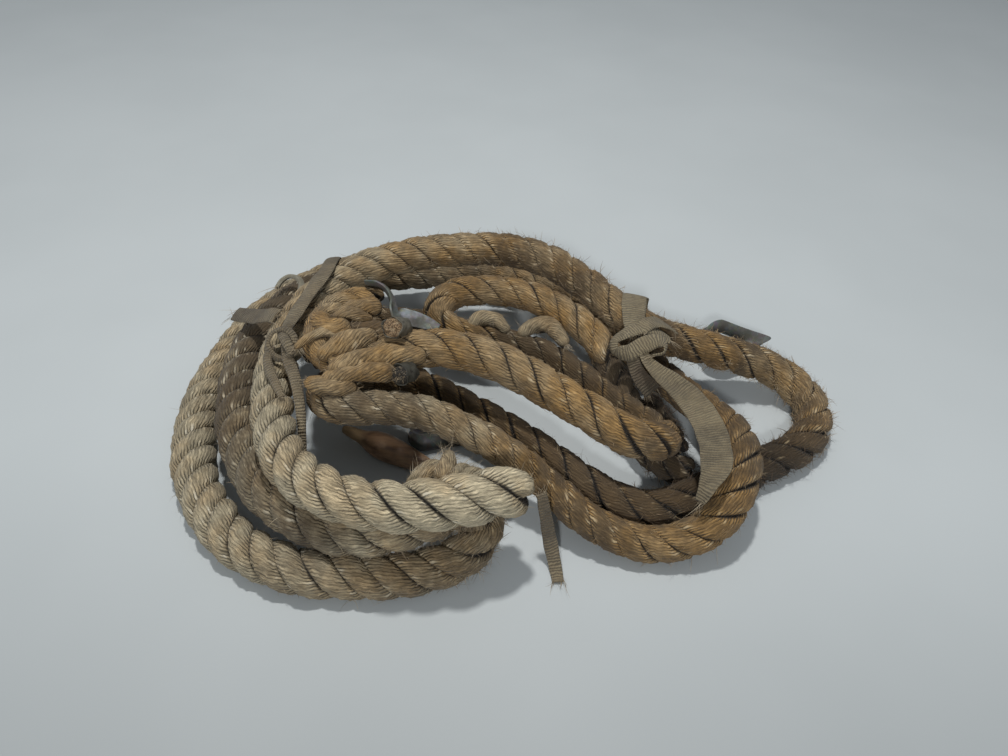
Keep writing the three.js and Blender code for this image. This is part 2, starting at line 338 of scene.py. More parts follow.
class Graph:
    """A node tree being filled, with short ways to add and join its nodes."""

    def __init__(self, tree: bpy.types.NodeTree) -> None:
        """Takes over an empty tree.

        Args:
            tree: a material's or a group's node tree.
        """
        self.tree = tree

    def add(
        self, kind: str, inputs: dict[str | int, object] | None = None, **settings: object,
    ) -> bpy.types.Node:
        """Adds a node.

        Args:
            kind: the node's type.
            inputs: sockets to join, or values to set, by input name or number.
            **settings: the node's own settings.

        Returns:
            The node.
        """
        node = self.tree.nodes.new(kind)
        for key, value in settings.items():
            setattr(node, key, value)
        self.feed(node, inputs or {})
        return node

    def feed(self, node: bpy.types.Node, inputs: dict[str | int, object]) -> None:
        """Joins sockets to a node's inputs, or sets their values.

        Args:
            node: the node.
            inputs: sockets to join, or values to set, by input name or number.
        """
        for key, value in inputs.items():
            if isinstance(value, bpy.types.NodeSocket):
                self.tree.links.new(value, node.inputs[key])
            else:
                node.inputs[key].default_value = value

    def math(
        self, operation: str, a: object, b: object = 0.0, c: object = 0.0, clamp: bool = False,
    ) -> Socket:
        """The result of a math node.

        Args:
            operation: the node's operation.
            a: the first value.
            b: the second value.
            c: the third value.
            clamp: whether the result is kept between 0 and 1.

        Returns:
            The output socket.
        """
        inputs = {0: a, 1: b, 2: c}
        return self.add("ShaderNodeMath", inputs, operation=operation, use_clamp=clamp).outputs[0]

    def times(self, a: object, b: object) -> Socket:
        """Two values multiplied."""
        return self.math("MULTIPLY", a, b)

    def scaled(self, colour: Socket, by: Socket) -> Socket:
        """A colour made brighter or darker by a value."""
        return self.add("ShaderNodeVectorMath", {0: colour, "Scale": by}, operation="SCALE").outputs[0]

    def mix(self, factor: object, a: object, b: object, blend: str = "MIX") -> Socket:
        """Two colours mixed.

        Args:
            factor: how much of the second.
            a: the first colour.
            b: the second colour.
            blend: the way they mix.

        Returns:
            The colour socket.
        """
        a = (*a, 1.0) if isinstance(a, tuple) and len(a) == 3 else a
        b = (*b, 1.0) if isinstance(b, tuple) and len(b) == 3 else b
        node = self.add("ShaderNodeMix", {0: factor, 6: a, 7: b}, data_type="RGBA", blend_type=blend)
        return node.outputs[2]

    def ramp(
        self, value: object, low: float, high: float, to_low: float = 0.0, to_high: float = 1.0,
    ) -> Socket:
        """A value stretched from one range to another, and clamped.

        Args:
            value: the value.
            low: where the first range starts.
            high: where it ends.
            to_low: where the second range starts.
            to_high: where it ends.

        Returns:
            The output socket.
        """
        inputs = {0: value, 1: low, 2: high, 3: to_low, 4: to_high}
        return self.add("ShaderNodeMapRange", inputs, interpolation_type="SMOOTHSTEP").outputs[0]

    def noise(self, vector: object, scale: float, detail: float = 3.0, roughness: float = 0.55) -> Socket:
        """Uneven values between 0 and 1.

        Args:
            vector: where the noise is read.
            scale: how fine it is.
            detail: how many octaves.
            roughness: how strong the finer ones are.

        Returns:
            The value socket.
        """
        inputs = {"Vector": vector, "Scale": scale, "Detail": detail, "Roughness": roughness}
        return self.add("ShaderNodeTexNoise", inputs).outputs[0]

    def join(self, x: object, y: object, z: object = 0.0) -> Socket:
        """Three values as one vector."""
        return self.add("ShaderNodeCombineXYZ", {0: x, 1: y, 2: z}).outputs[0]

    def split(self, vector: Socket) -> tuple[Socket, Socket, Socket]:
        """A vector's three values."""
        node = self.add("ShaderNodeSeparateXYZ", {0: vector})
        return node.outputs[0], node.outputs[1], node.outputs[2]

    def place(self) -> Socket:
        """Object coordinates."""
        return self.add("ShaderNodeTexCoord").outputs["Object"]

    def lay(self) -> Socket:
        """The piece's own UV map."""
        return self.add("ShaderNodeUVMap", uv_map="lay").outputs[0]

    def tone(self) -> tuple[Socket, Socket, Socket]:
        """The piece's tone from its colour attribute: tan, dirt with painted light and shade, and depth.
        """
        node = self.add("ShaderNodeVertexColor", layer_name="tone")
        parts = self.add("ShaderNodeSeparateColor", {0: node.outputs[0]})
        return parts.outputs[0], parts.outputs[1], parts.outputs[2]

    def bump(self, height: Socket, strength: float, distance: float) -> Socket:
        """A bumped normal.

        Args:
            height: the height, about 0 to 1.
            strength: how much of it shows.
            distance: the height of 1, in metres.

        Returns:
            The normal socket.
        """
        inputs = {"Height": height, "Strength": strength, "Distance": distance}
        return self.add("ShaderNodeBump", inputs).outputs[0]

    def grime(self, place: Socket, amount: object) -> Socket:
        """A mask of dirt patches, from the group that every dirty finish shares.

        Args:
            place: where the patches are read.
            amount: how much dirt there is.

        Returns:
            The mask's socket.
        """
        inputs = {"Place": place, "Amount": amount}
        return self.add("ShaderNodeGroup", inputs, node_tree=grime_group()).outputs[0]


def grime_group() -> bpy.types.NodeTree:
    """Soft patches of dirt with a broken edge, from Object coordinates, built when first asked for."""
    found = bpy.data.node_groups.get("grime")
    if found:
        return found
    tree = bpy.data.node_groups.new("grime", "ShaderNodeTree")
    tree.interface.new_socket("Place", in_out="INPUT", socket_type="NodeSocketVector")
    tree.interface.new_socket("Amount", in_out="INPUT", socket_type="NodeSocketFloat")
    tree.interface.new_socket("Mask", in_out="OUTPUT", socket_type="NodeSocketFloat")
    graph = Graph(tree)
    entry = graph.add("NodeGroupInput")
    broad = graph.noise(entry.outputs["Place"], 14.0, 4.0, 0.6)
    fine = graph.noise(entry.outputs["Place"], 160.0, 3.0, 0.6)
    both = graph.math("MULTIPLY_ADD", fine, 0.35, broad)
    shifted = graph.math("ADD", both, entry.outputs["Amount"])
    graph.add("NodeGroupOutput", {"Mask": graph.ramp(shifted, 0.78, 1.25)})
    return tree


def new_material(name: str) -> tuple[bpy.types.Material, Graph, bpy.types.Node]:
    """A new material, its graph and its shader."""
    material = bpy.data.materials.new(name)
    material.use_nodes = True
    return material, Graph(material.node_tree), material.node_tree.nodes["Principled BSDF"]


@dataclass(frozen=True)
class RopeFinish:
    """Natural-fibre strands: yarns along the rope, matted crowns, painted flank glints and painted groove
    shade.

    Attributes:
        name: the material's name.
        pale: the weathered colour on top of a strand.
        tan: the less weathered colour.
        dark: the colour of the grime.
        yarns: how many yarns go round one strand.
        lean: turns of the yarns round the strand for each metre.
    """

    name: str
    pale: Colour = (0.40, 0.338, 0.228)
    tan: Colour = (0.345, 0.205, 0.075)
    dark: Colour = (0.062, 0.042, 0.024)
    yarns: float = 17.0
    lean: float = 21.0

    def make(self) -> bpy.types.Material:
        """Builds the material."""
        material, graph, shader = new_material(self.name)
        along, around, _ = graph.split(graph.lay())
        tan, soil_and_painted_light, depth = graph.tone()
        place = graph.place()
        flank = graph.ramp(depth, 0.03, 0.34)
        # Mask for the painted shade in the grooves between strands, from the angle round each strand.
        groove_shade = graph.ramp(depth, 0.47, 0.76)
        jitter = graph.ramp(graph.noise(place, 90.0), 0.3, 0.7, -0.3, 0.3)
        wound = graph.math("MULTIPLY_ADD", along, self.lean, around)
        phase = graph.math("MULTIPLY_ADD", wound, self.yarns, jitter)
        saw = graph.math("MULTIPLY_ADD", graph.math("FRACT", phase), 2.0, -1.0)
        yarn = graph.math("SUBTRACT", 1.0, graph.math("POWER", graph.math("ABSOLUTE", saw), 2.5))
        cell = graph.times(graph.math("FLOOR", phase), 7.31)
        stretch = graph.noise(graph.join(cell, graph.times(along, 75.0), 1.7), 1.0, 2.0, 0.6)
        fibre_place = graph.join(graph.times(phase, 2.4), graph.times(along, 130.0))
        fibre = graph.noise(fibre_place, 1.0, 5.0, 0.75)
        patch = graph.noise(place, 24.0, 4.0, 0.6)
        crown_dirt = graph.times(graph.math("SUBTRACT", 1.0, flank), graph.times(tan, 0.22))
        grime = graph.grime(place, graph.math("ADD", soil_and_painted_light, crown_dirt))
        tan_mask = graph.math("ADD", tan, graph.ramp(patch, 0.3, 0.7, -0.28, 0.28), clamp=True)
        body = graph.mix(tan_mask, self.pale, self.tan)
        light = graph.ramp(fibre, 0.3, 0.72, 0.42, 1.45)
        light = graph.times(light, graph.ramp(stretch, 0.3, 0.7, 0.78, 1.25))
        # Painted shade between the yarns, stronger on the flanks than on the crown.
        yarn_gap_shade_depth = graph.math("MULTIPLY_ADD", flank, 0.42, 0.34)
        between = graph.times(graph.math("SUBTRACT", 1.0, yarn), yarn_gap_shade_depth)
        light = graph.times(light, graph.math("SUBTRACT", 1.12, between))
        # Soil below zero brightens the colour up to 1.42 times: painted light.
        light = graph.times(light, graph.ramp(soil_and_painted_light, -0.3, 0.0, 1.42, 1.0))
        body = graph.scaled(body, light)
        body = graph.mix(graph.times(grime, 0.86), body, self.dark)
        # Soil above 0.5 darkens the colour to under half; on the inner turns this is painted shade.
        deep_soil_and_shade = graph.ramp(soil_and_painted_light, 0.5, 1.0, 1.0, 0.45)
        body = graph.scaled(body, deep_soil_and_shade)
        # Painted glints: bright yarn segments on the flanks, mixed towards a pale glint colour.
        glint = graph.times(graph.ramp(stretch, 0.56, 0.7), graph.times(flank, yarn))
        sheen = graph.mix(tan_mask, (0.78, 0.72, 0.58), (0.66, 0.51, 0.30))
        body = graph.mix(graph.times(glint, graph.times(deep_soil_and_shade, 0.72)), body, sheen)
        # Painted shade: the grooves between strands are turned near-black.
        body = graph.mix(graph.times(groove_shade, 0.96), body, (0.016, 0.011, 0.007))
        graph.feed(shader, {"Base Color": body, "Roughness": graph.ramp(fibre, 0.2, 0.8, 0.95, 0.68)})
        height = graph.times(yarn, graph.math("MULTIPLY_ADD", flank, 0.5, 0.3))
        height = graph.math("MULTIPLY_ADD", fibre, 0.75, height)
        graph.feed(shader, {
            "Normal": graph.bump(height, 1.0, 0.0016),
            "Sheen Weight": 0.08,
            "Specular IOR Level": 0.3,
        })
        return material


@dataclass(frozen=True)
class FibreFinish:
    """Loose fibres: each takes its colour from its own painted tone.

    Attributes:
        name: the material's name.
        pale: the colour of a clean fibre.
        dark: the colour of a soiled one.
    """

    name: str
    pale: Colour = (0.50, 0.42, 0.30)
    dark: Colour = (0.09, 0.06, 0.04)

    def make(self) -> bpy.types.Material:
        """Builds the material."""
        material, graph, shader = new_material(self.name)
        tan, soil_and_painted_light, _ = graph.tone()
        body = graph.mix(tan, self.pale, (0.40, 0.28, 0.155))
        uneven = graph.noise(graph.place(), 300.0, 2.0)
        # Fibres with more soil are darker: dirt, and on the fuzz of the inner turns painted shade.
        soiled = graph.math("MULTIPLY_ADD", uneven, 0.3, graph.math("SUBTRACT", soil_and_painted_light, 0.12), clamp=True)
        body = graph.mix(soiled, body, self.dark)
        graph.feed(shader, {"Base Color": body, "Roughness": graph.ramp(uneven, 0.2, 0.8, 0.7, 0.9)})
        return material


@dataclass(frozen=True)
class WebbingFinish:
    """Flat woven webbing: ribs across, ends along, painted shade in the weave's troughs, soiled unevenly.

    Attributes:
        name: the material's name.
        body: the webbing's colour.
        dark: its grime, also used for the painted shade in the weave's troughs.
        rib: the distance between ribs, in metres.
    """

    name: str
    body: Colour = (0.33, 0.258, 0.15)
    dark: Colour = (0.06, 0.046, 0.03)
    rib: float = 0.0027

    def make(self) -> bpy.types.Material:
        """Builds the material."""
        material, graph, shader = new_material(self.name)
        place = graph.place()
        along, across, _ = graph.split(graph.lay())
        uneven = graph.ramp(graph.noise(place, 120.0), 0.3, 0.7, -0.25, 0.25)
        shifted = graph.math("MULTIPLY_ADD", uneven, self.rib, along)
        rib = graph.math("SINE", graph.times(shifted, 2 * math.pi / self.rib))
        end = graph.math("SINE", graph.times(across, 2 * math.pi / 0.0013))
        weave = graph.math("MULTIPLY_ADD", end, 0.25, graph.times(rib, 0.5))
        fibre = graph.noise(graph.join(graph.times(along, 500.0), graph.times(across, 1600.0)), 1.0, 3.0)
        grime = graph.grime(place, 0.3)
        wear = graph.noise(place, 35.0, 4.0, 0.65)
        body = graph.mix(graph.ramp(wear, 0.3, 0.7, 0.0, 0.5), self.body, (0.37, 0.31, 0.20))
        # Painted shade: the troughs of the weave are darkened in patches towards the grime colour.
        weave_trough_shade = graph.times(graph.ramp(weave, 0.2, -0.5), graph.ramp(wear, 0.35, 0.62, 0.3, 0.8))
        body = graph.mix(weave_trough_shade, body, self.dark)
        body = graph.mix(graph.ramp(fibre, 0.4, 0.75, 0.0, 0.25), body, (0.36, 0.32, 0.23))
        body = graph.mix(graph.times(grime, 0.75), body, self.dark)
        graph.feed(shader, {"Base Color": body, "Roughness": graph.ramp(fibre, 0.2, 0.8, 0.95, 0.75)})
        height = graph.math("MULTIPLY_ADD", fibre, 0.3, weave)
        graph.feed(shader, {"Normal": graph.bump(height, 1.0, 0.0009), "Sheen Weight": 0.1})
        return material


@dataclass(frozen=True)
class SteelFinish:
    """Dull galvanised steel with spangle, scratches and stains.

    Attributes:
        name: the material's name.
        bright: the colour of clean zinc.
        stain: the colour of the stains.
    """

    name: str
    bright: Colour = (0.15, 0.156, 0.148)
    stain: Colour = (0.07, 0.064, 0.05)

    def make(self) -> bpy.types.Material:
        """Builds the material."""
        material, graph, shader = new_material(self.name)
        place = graph.place()
        spangle = graph.add("ShaderNodeTexVoronoi", {"Vector": place, "Scale": 260.0}).outputs["Color"]
        stain = graph.noise(place, 45.0, 5.0, 0.65)
        fine = graph.noise(place, 700.0, 3.0, 0.6)
        body = graph.mix(0.18, self.bright, spangle, "SOFT_LIGHT")
        body = graph.mix(graph.ramp(stain, 0.36, 0.6, 0.0, 0.85), body, self.stain)
        graph.feed(shader, {
            "Base Color": body,
            "Roughness": graph.ramp(stain, 0.35, 0.65, 0.5, 0.8),
            "Metallic": graph.ramp(stain, 0.4, 0.62, 0.3, 0.1),
        })
        height = graph.math("MULTIPLY_ADD", fine, 0.4, stain)
        graph.feed(shader, {"Normal": graph.bump(height, 0.5, 0.0008)})
        return material


@dataclass(frozen=True)
class WoodFinish:
    """Dark worn hardwood with grain along X and a handled polish.

    Attributes:
        name: the material's name.
        light: the worn colour.
        dark: the grain's colour.
    """

    name: str
    light: Colour = (0.32, 0.19, 0.105)
    dark: Colour = (0.14, 0.078, 0.045)

    def make(self) -> bpy.types.Material:
        """Builds the material."""
        material, graph, shader = new_material(self.name)
        place = graph.place()
        inputs = {"Vector": place, "Rotation": (0.0, 0.0, 0.4), "Scale": (18.0, 150.0, 150.0)}
        stretched = graph.add("ShaderNodeMapping", inputs).outputs[0]
        grain = graph.noise(stretched, 1.0, 5.0, 0.6)
        wear = graph.noise(place, 40.0, 4.0, 0.6)
        body = graph.mix(graph.ramp(grain, 0.32, 0.62), self.dark, self.light)
        body = graph.mix(graph.ramp(wear, 0.52, 0.75, 0.0, 0.6), body, (0.40, 0.27, 0.16))
        thin = graph.ramp(graph.split(place)[0], -0.150, -0.136, 1.0, 0.0)
        body = graph.mix(graph.times(thin, 0.8), body, (0.34, 0.235, 0.125))
        graph.feed(shader, {
            "Base Color": body,
            "Roughness": graph.ramp(wear, 0.3, 0.7, 0.34, 0.6),
            "Normal": graph.bump(grain, 0.35, 0.0005),
        })
        return material


@dataclass(frozen=True)
class BindingFinish:
    """Old cloth tape wound round a strand end: grey, creased and sticky with dirt.

    Attributes:
        name: the material's name.
        body: the tape's colour.
        rubbed: its colour where it is worn.
    """

    name: str
    body: Colour = (0.085, 0.078, 0.06)
    rubbed: Colour = (0.17, 0.155, 0.12)

    def make(self) -> bpy.types.Material:
        """Builds the material."""
        material, graph, shader = new_material(self.name)
        place = graph.place()
        crease = graph.noise(place, 210.0, 4.0, 0.6)
        patch = graph.noise(place, 70.0, 4.0, 0.6)
        body = graph.mix(graph.ramp(patch, 0.35, 0.7), self.body, self.rubbed)
        # Painted shade: the hollows of the creases, where the bump is lowest, are darkened almost to
        # black.
        body = graph.mix(graph.ramp(crease, 0.48, 0.3, 0.0, 0.6), body, (0.025, 0.022, 0.018))
        graph.feed(shader, {
            "Base Color": body,
            "Roughness": graph.ramp(patch, 0.3, 0.7, 0.45, 0.75),
            "Normal": graph.bump(crease, 0.6, 0.0009),
        })
        return material


@dataclass(frozen=True)
class CutFinish:
    """The cut end of a strand: packed brown fibre ends.

    Attributes:
        name: the material's name.
        body: the fibres' colour.
        dark: the painted shade in the gaps between them.
    """

    name: str
    body: Colour = (0.50, 0.33, 0.18)
    dark: Colour = (0.12, 0.075, 0.04)

    def make(self) -> bpy.types.Material:
        """Builds the material."""
        material, graph, shader = new_material(self.name)
        place = graph.place()
        dots = graph.add("ShaderNodeTexVoronoi", {"Vector": place, "Scale": 900.0}).outputs["Distance"]
        patch = graph.noise(place, 180.0, 4.0, 0.6)
        # Painted shade: the gaps between the fibre ends are darkened.
        body = graph.mix(graph.ramp(dots, 0.15, 0.65), self.body, self.dark)
        body = graph.mix(graph.ramp(patch, 0.52, 0.7, 0.0, 0.7), body, (0.5, 0.38, 0.24))
        graph.feed(shader, {
            "Base Color": body,
            "Roughness": graph.ramp(patch, 0.3, 0.7, 0.9, 0.7),
            "Normal": graph.bump(graph.math("SUBTRACT", 1.0, dots), 0.8, 0.0008),
        })
        return material


@dataclass(frozen=True)
class FloorFinish:
    """A plain pale floor with a faint unevenness, and painted shade that darkens it in front of the heap.
    """

    name: str

    def make(self) -> bpy.types.Material:
        """Builds the material."""
        material, graph, shader = new_material(self.name)
        cloudy = graph.noise(graph.place(), 3.0, 3.0)
        body = graph.mix(graph.ramp(cloudy, 0.3, 0.7), (0.585, 0.62, 0.628), (0.615, 0.65, 0.658))
        # Painted shade: the floor is darkened towards the front, down to 0.62 of its colour.
        front_shade = graph.ramp(graph.split(graph.place())[1], -0.5, -0.05, 0.62, 0.96)
        body = graph.scaled(body, front_shade)
        graph.feed(shader, {"Base Color": body, "Roughness": 0.6})
        return material


# ---------------------------------------------------------------------------------------------
# Ropes
# ---------------------------------------------------------------------------------------------


@dataclass(frozen=True)
class Station:
    """How the rope is at one point of its route, with a smooth change to the next station.

    Attributes:
        at: the number of the route point.
        thick: the rope's diameter, in millimetres.
        crest: the distance between strands along the rope, in millimetres.
        tan: 0 for weathered grey, 1 for tan.
        soil_and_painted_light: how dark it is made, 0 to 1, as dirt and on the inner turns as painted
            shade; below 0 it is made brighter, which is painted light.
        fray: how fuzzy it is, 0 to 1.2.
    """

    at: float
    thick: float
    crest: float
    tan: float
    soil_and_painted_light: float
    fray: float


def stations(*rows: Sequence[float]) -> list[Station]:
    """Stations from rows of their values, in the order of the class's fields."""
    return [Station(*row) for row in rows]


@dataclass
class FibrePatch:
    """Loose fibres gathered before they are made one mesh.

    Attributes:
        roots: where each fibre starts.
        ways: which way it starts.
        bends: how it turns away.
        lengths: its length.
        widths: its width.
        tones: its tan, and its dirt with painted light and shade.
    """

    roots: list[np.ndarray] = field(default_factory=list)
    ways: list[np.ndarray] = field(default_factory=list)
    bends: list[np.ndarray] = field(default_factory=list)
    lengths: list[np.ndarray] = field(default_factory=list)
    widths: list[np.ndarray] = field(default_factory=list)
    tones: list[np.ndarray] = field(default_factory=list)

    def grow(
        self, roots: np.ndarray, ways: np.ndarray, bends: np.ndarray,
        lengths: np.ndarray, widths: np.ndarray, tones: np.ndarray,
    ) -> None:
        """Adds fibres.

        Args:
            roots: where they start.
            ways: which way they start.
            bends: how they turn away by their ends.
            lengths: their lengths, in metres.
            widths: their widths, in metres.
            tones: two numbers for each: tan, and dirt with painted light and shade.
        """
        self.roots.append(roots)
        self.ways.append(ways)
        self.bends.append(bends)
        self.lengths.append(lengths)
        self.widths.append(widths)
        self.tones.append(tones)

    def mesh(self, name: str, rng: np.random.Generator) -> bpy.types.Object:
        """Makes all the fibres one mesh of thin tapered ribbons.

        Args:
            name: the piece's name.
            rng: the seeded source.

        Returns:
            The object.
        """
        roots, ways, bends = (np.vstack(part) for part in (self.roots, self.ways, self.bends))
        lengths, widths = (np.concatenate(part)[:, None] for part in (self.lengths, self.widths))
        tones = np.vstack(self.tones)
        count = len(roots)
        ways = unit(ways)
        side = unit(np.cross(ways, rng.normal(size=(count, 3))))
        rings = []
        for t, w in ((0.0, 1.0), (0.4, 0.85), (0.75, 0.55)):
            centre = roots + (ways * t + bends * t * t) * lengths
            rings += [centre - side * widths * w / 2, centre + side * widths * w / 2]
        rings.append(roots + (ways + bends) * lengths)
        places = np.stack(rings, axis=1).reshape(-1, 3)
        places[:, 2] = np.maximum(places[:, 2], 2 * FLOOR_GAP)
        base = np.arange(count) * 7
        quads = [(b + k, b + k + 1, b + k + 3, b + k + 2) for k in (0, 2) for b in base]
        tips = [(b + 4, b + 5, b + 6) for b in base]
        tone = np.zeros((count, 7, 4))
        tone[:, :, 0] = tones[:, 0:1]
        tone[:, :, 1] = tones[:, 1:2]
        tone[:, :, 3] = 1.0
        return mesh_piece(name, places, [*quads, *tips], tone=tone.reshape(-1, 4))


@dataclass
class LaidRope:
    """Three strands laid up right-handed along a route.

    Attributes:
        name: the rope's name.
        points: its route, in millimetres.
        stations: how it is along the route.
        step: the distance between rings along a strand, in metres.
        sides: how many corners each ring has.
        strand_reach: how far a strand's middle is from the rope's, in rope diameters.
        strand_size: a strand's radius, in rope diameters.
    """

    name: str
    points: list[Point]
    stations: list[Station]
    step: float = 0.0048
    sides: int = 16
    strand_reach: float = 0.28
    strand_size: float = 0.241

    def __post_init__(self) -> None:
        """Lays out the line, its frames and what varies along it."""
        self.rng = np.random.default_rng(SEED + len(self.points))
        self.line = smooth_line(placed(self.points), self.step)
        steps = step_lengths(self.line)
        self.along = running(steps)
        self.tangents, self.normals, self.binormals = carried_frames(self.line)
        anchors = nearest(self.line, placed(self.points))
        where = np.interp([s.at for s in self.stations], range(len(anchors)), self.along[anchors])

        def read(key: str) -> np.ndarray:
            """One of the stations' values along the whole line."""
            return np.interp(self.along, where, [getattr(s, key) for s in self.stations])

        self.thick, self.crest = read("thick") * MM, read("crest") * MM
        self.tan, self.soil_and_painted_light, self.fray = read("tan"), read("soil_and_painted_light"), read("fray")
        self.worn = np.clip(0.12 + 0.8 * self.tan, 0, 1)
        self.turns = running(2 * math.pi / (3 * self.crest[:-1]) * steps)
        self.rings = [self.strand(number) for number in range(3)]

    @property
    def length(self) -> float:
        """The rope's length along its middle."""
        return float(self.along[-1])

    def strand(self, number: int) -> dict[str, np.ndarray]:
        """One strand's rings.

        Args:
            number: 0, 1 or 2.

        Returns:
            The ring places, outward directions, UVs and tones, by name.
        """
        count = len(self.line)
        angle = self.turns + 2 * math.pi * number / 3 + 0.09 * wander(self.rng, count, 9)
        reach = self.strand_reach * self.thick * (1 + 0.05 * wander(self.rng, count, 7))
        out = self.normals * np.cos(angle)[:, None] + self.binormals * np.sin(angle)[:, None]
        middle = self.line + out * reach[:, None]
        way = unit(np.gradient(middle, axis=0))
        rise = square_to(out, way)
        side = np.cross(way, rise)
        size = self.strand_size * self.thick * (1 + 0.06 * wander(self.rng, count, 6))
        size = domed(size, self.along, 0.08)
        ell = running(step_lengths(middle))
        theta = np.linspace(-math.pi, math.pi, self.sides + 1)
        wave = 0.035 * np.sin(theta[None] * 5 + ell[:, None] * 260)
        wave = wave + 0.02 * np.sin(theta[None] * 8 - ell[:, None] * 410)
        worn = self.worn[:, None] * np.clip((np.cos(theta) - 0.45) / 0.55, 0, 1)[None] ** 1.6
        lift = np.cos(theta)[None] - 0.26 * worn
        spread = 1.06 * np.sin(theta)[None] * (1 + 0.05 * self.worn[:, None])
        across = rise[:, None] * lift[..., None] + side[:, None] * spread[..., None]
        places = middle[:, None] + across * (size[:, None] * (1 + wave))[..., None]
        places[..., 2] = np.maximum(places[..., 2], FLOOR_GAP)
        uv = np.stack(np.broadcast_arrays(ell[:, None], theta[None] / (2 * math.pi) + 0.5), axis=-1)
        tone = np.ones((count, self.sides + 1, 4))
        tone[..., 0] = self.tan[:, None]
        tone[..., 1] = self.soil_and_painted_light[:, None]
        # The angle round each strand, from which the rope finish paints flank glints and groove shade.
        tone[..., 2] = np.clip((1 - np.cos(theta)) / 1.3, 0, 1)[None]
        return {"places": places, "out": unit(across), "uv": uv, "tone": tone}

    def build(self) -> bpy.types.Object:
        """Makes the three strands one mesh with closed ends."""
        return capped_tubes(self.name, self.rings)

    def fuzz(self, name: str, count: int) -> bpy.types.Object:
        """Fine fibres that stand off the strands, longer where the rope is frayed.

        Args:
            name: the piece's name.
            count: how many fibres.

        Returns:
            The object.
        """
        rng = self.rng
        patch = FibrePatch()
        weight = 0.35 + self.fray * 2.4
        rows = rng.choice(len(self.line), size=count, p=weight / weight.sum())
        strands = rng.integers(0, 3, count)
        cols = rng.normal(self.sides / 2, self.sides * 0.19, count).round().astype(int)
        cols = np.clip(cols, 0, self.sides)
        roots = np.stack([r["places"] for r in self.rings])[strands, rows, cols]
        out = np.stack([r["out"] for r in self.rings])[strands, rows, cols]
        fray = self.fray[rows]
        roots = roots + self.tangents[rows] * rng.uniform(-0.5, 0.5, (count, 1)) * self.step
        roots = roots - out * 0.0006
        forward = np.where(rng.random(count) < 0.62, 1.0, -1.0)[:, None]
        lift = rng.uniform(0.12, 0.75, count) * (0.6 + fray)
        ways = self.tangents[rows] * forward * rng.uniform(0.35, 1.0, (count, 1)) + out * lift[:, None]
        ways = ways + rng.normal(size=(count, 3)) * 0.3
        bends = rng.normal(size=(count, 3)) * 0.28 + np.array([0, 0, -0.12]) - out * 0.12
        lengths = rng.gamma(2.2, 0.0014, count) * (0.75 + 1.1 * np.minimum(fray, 1.2)) + 0.001
        widths = rng.uniform(0.00018, 0.00036, count) * (1 + 0.6 * np.minimum(fray, 1.2))
        tan = np.clip(self.tan[rows] + rng.normal(0, 0.2, count), 0, 1)
        soil_and_painted_light = np.clip(self.soil_and_painted_light[rows] + rng.normal(0.1, 0.22, count), 0, 1)
        tones = np.stack([tan, soil_and_painted_light], axis=1)
        patch.grow(roots, ways, bends, np.minimum(lengths, LONGEST_NAP), widths, tones)
        return patch.mesh(name, rng)


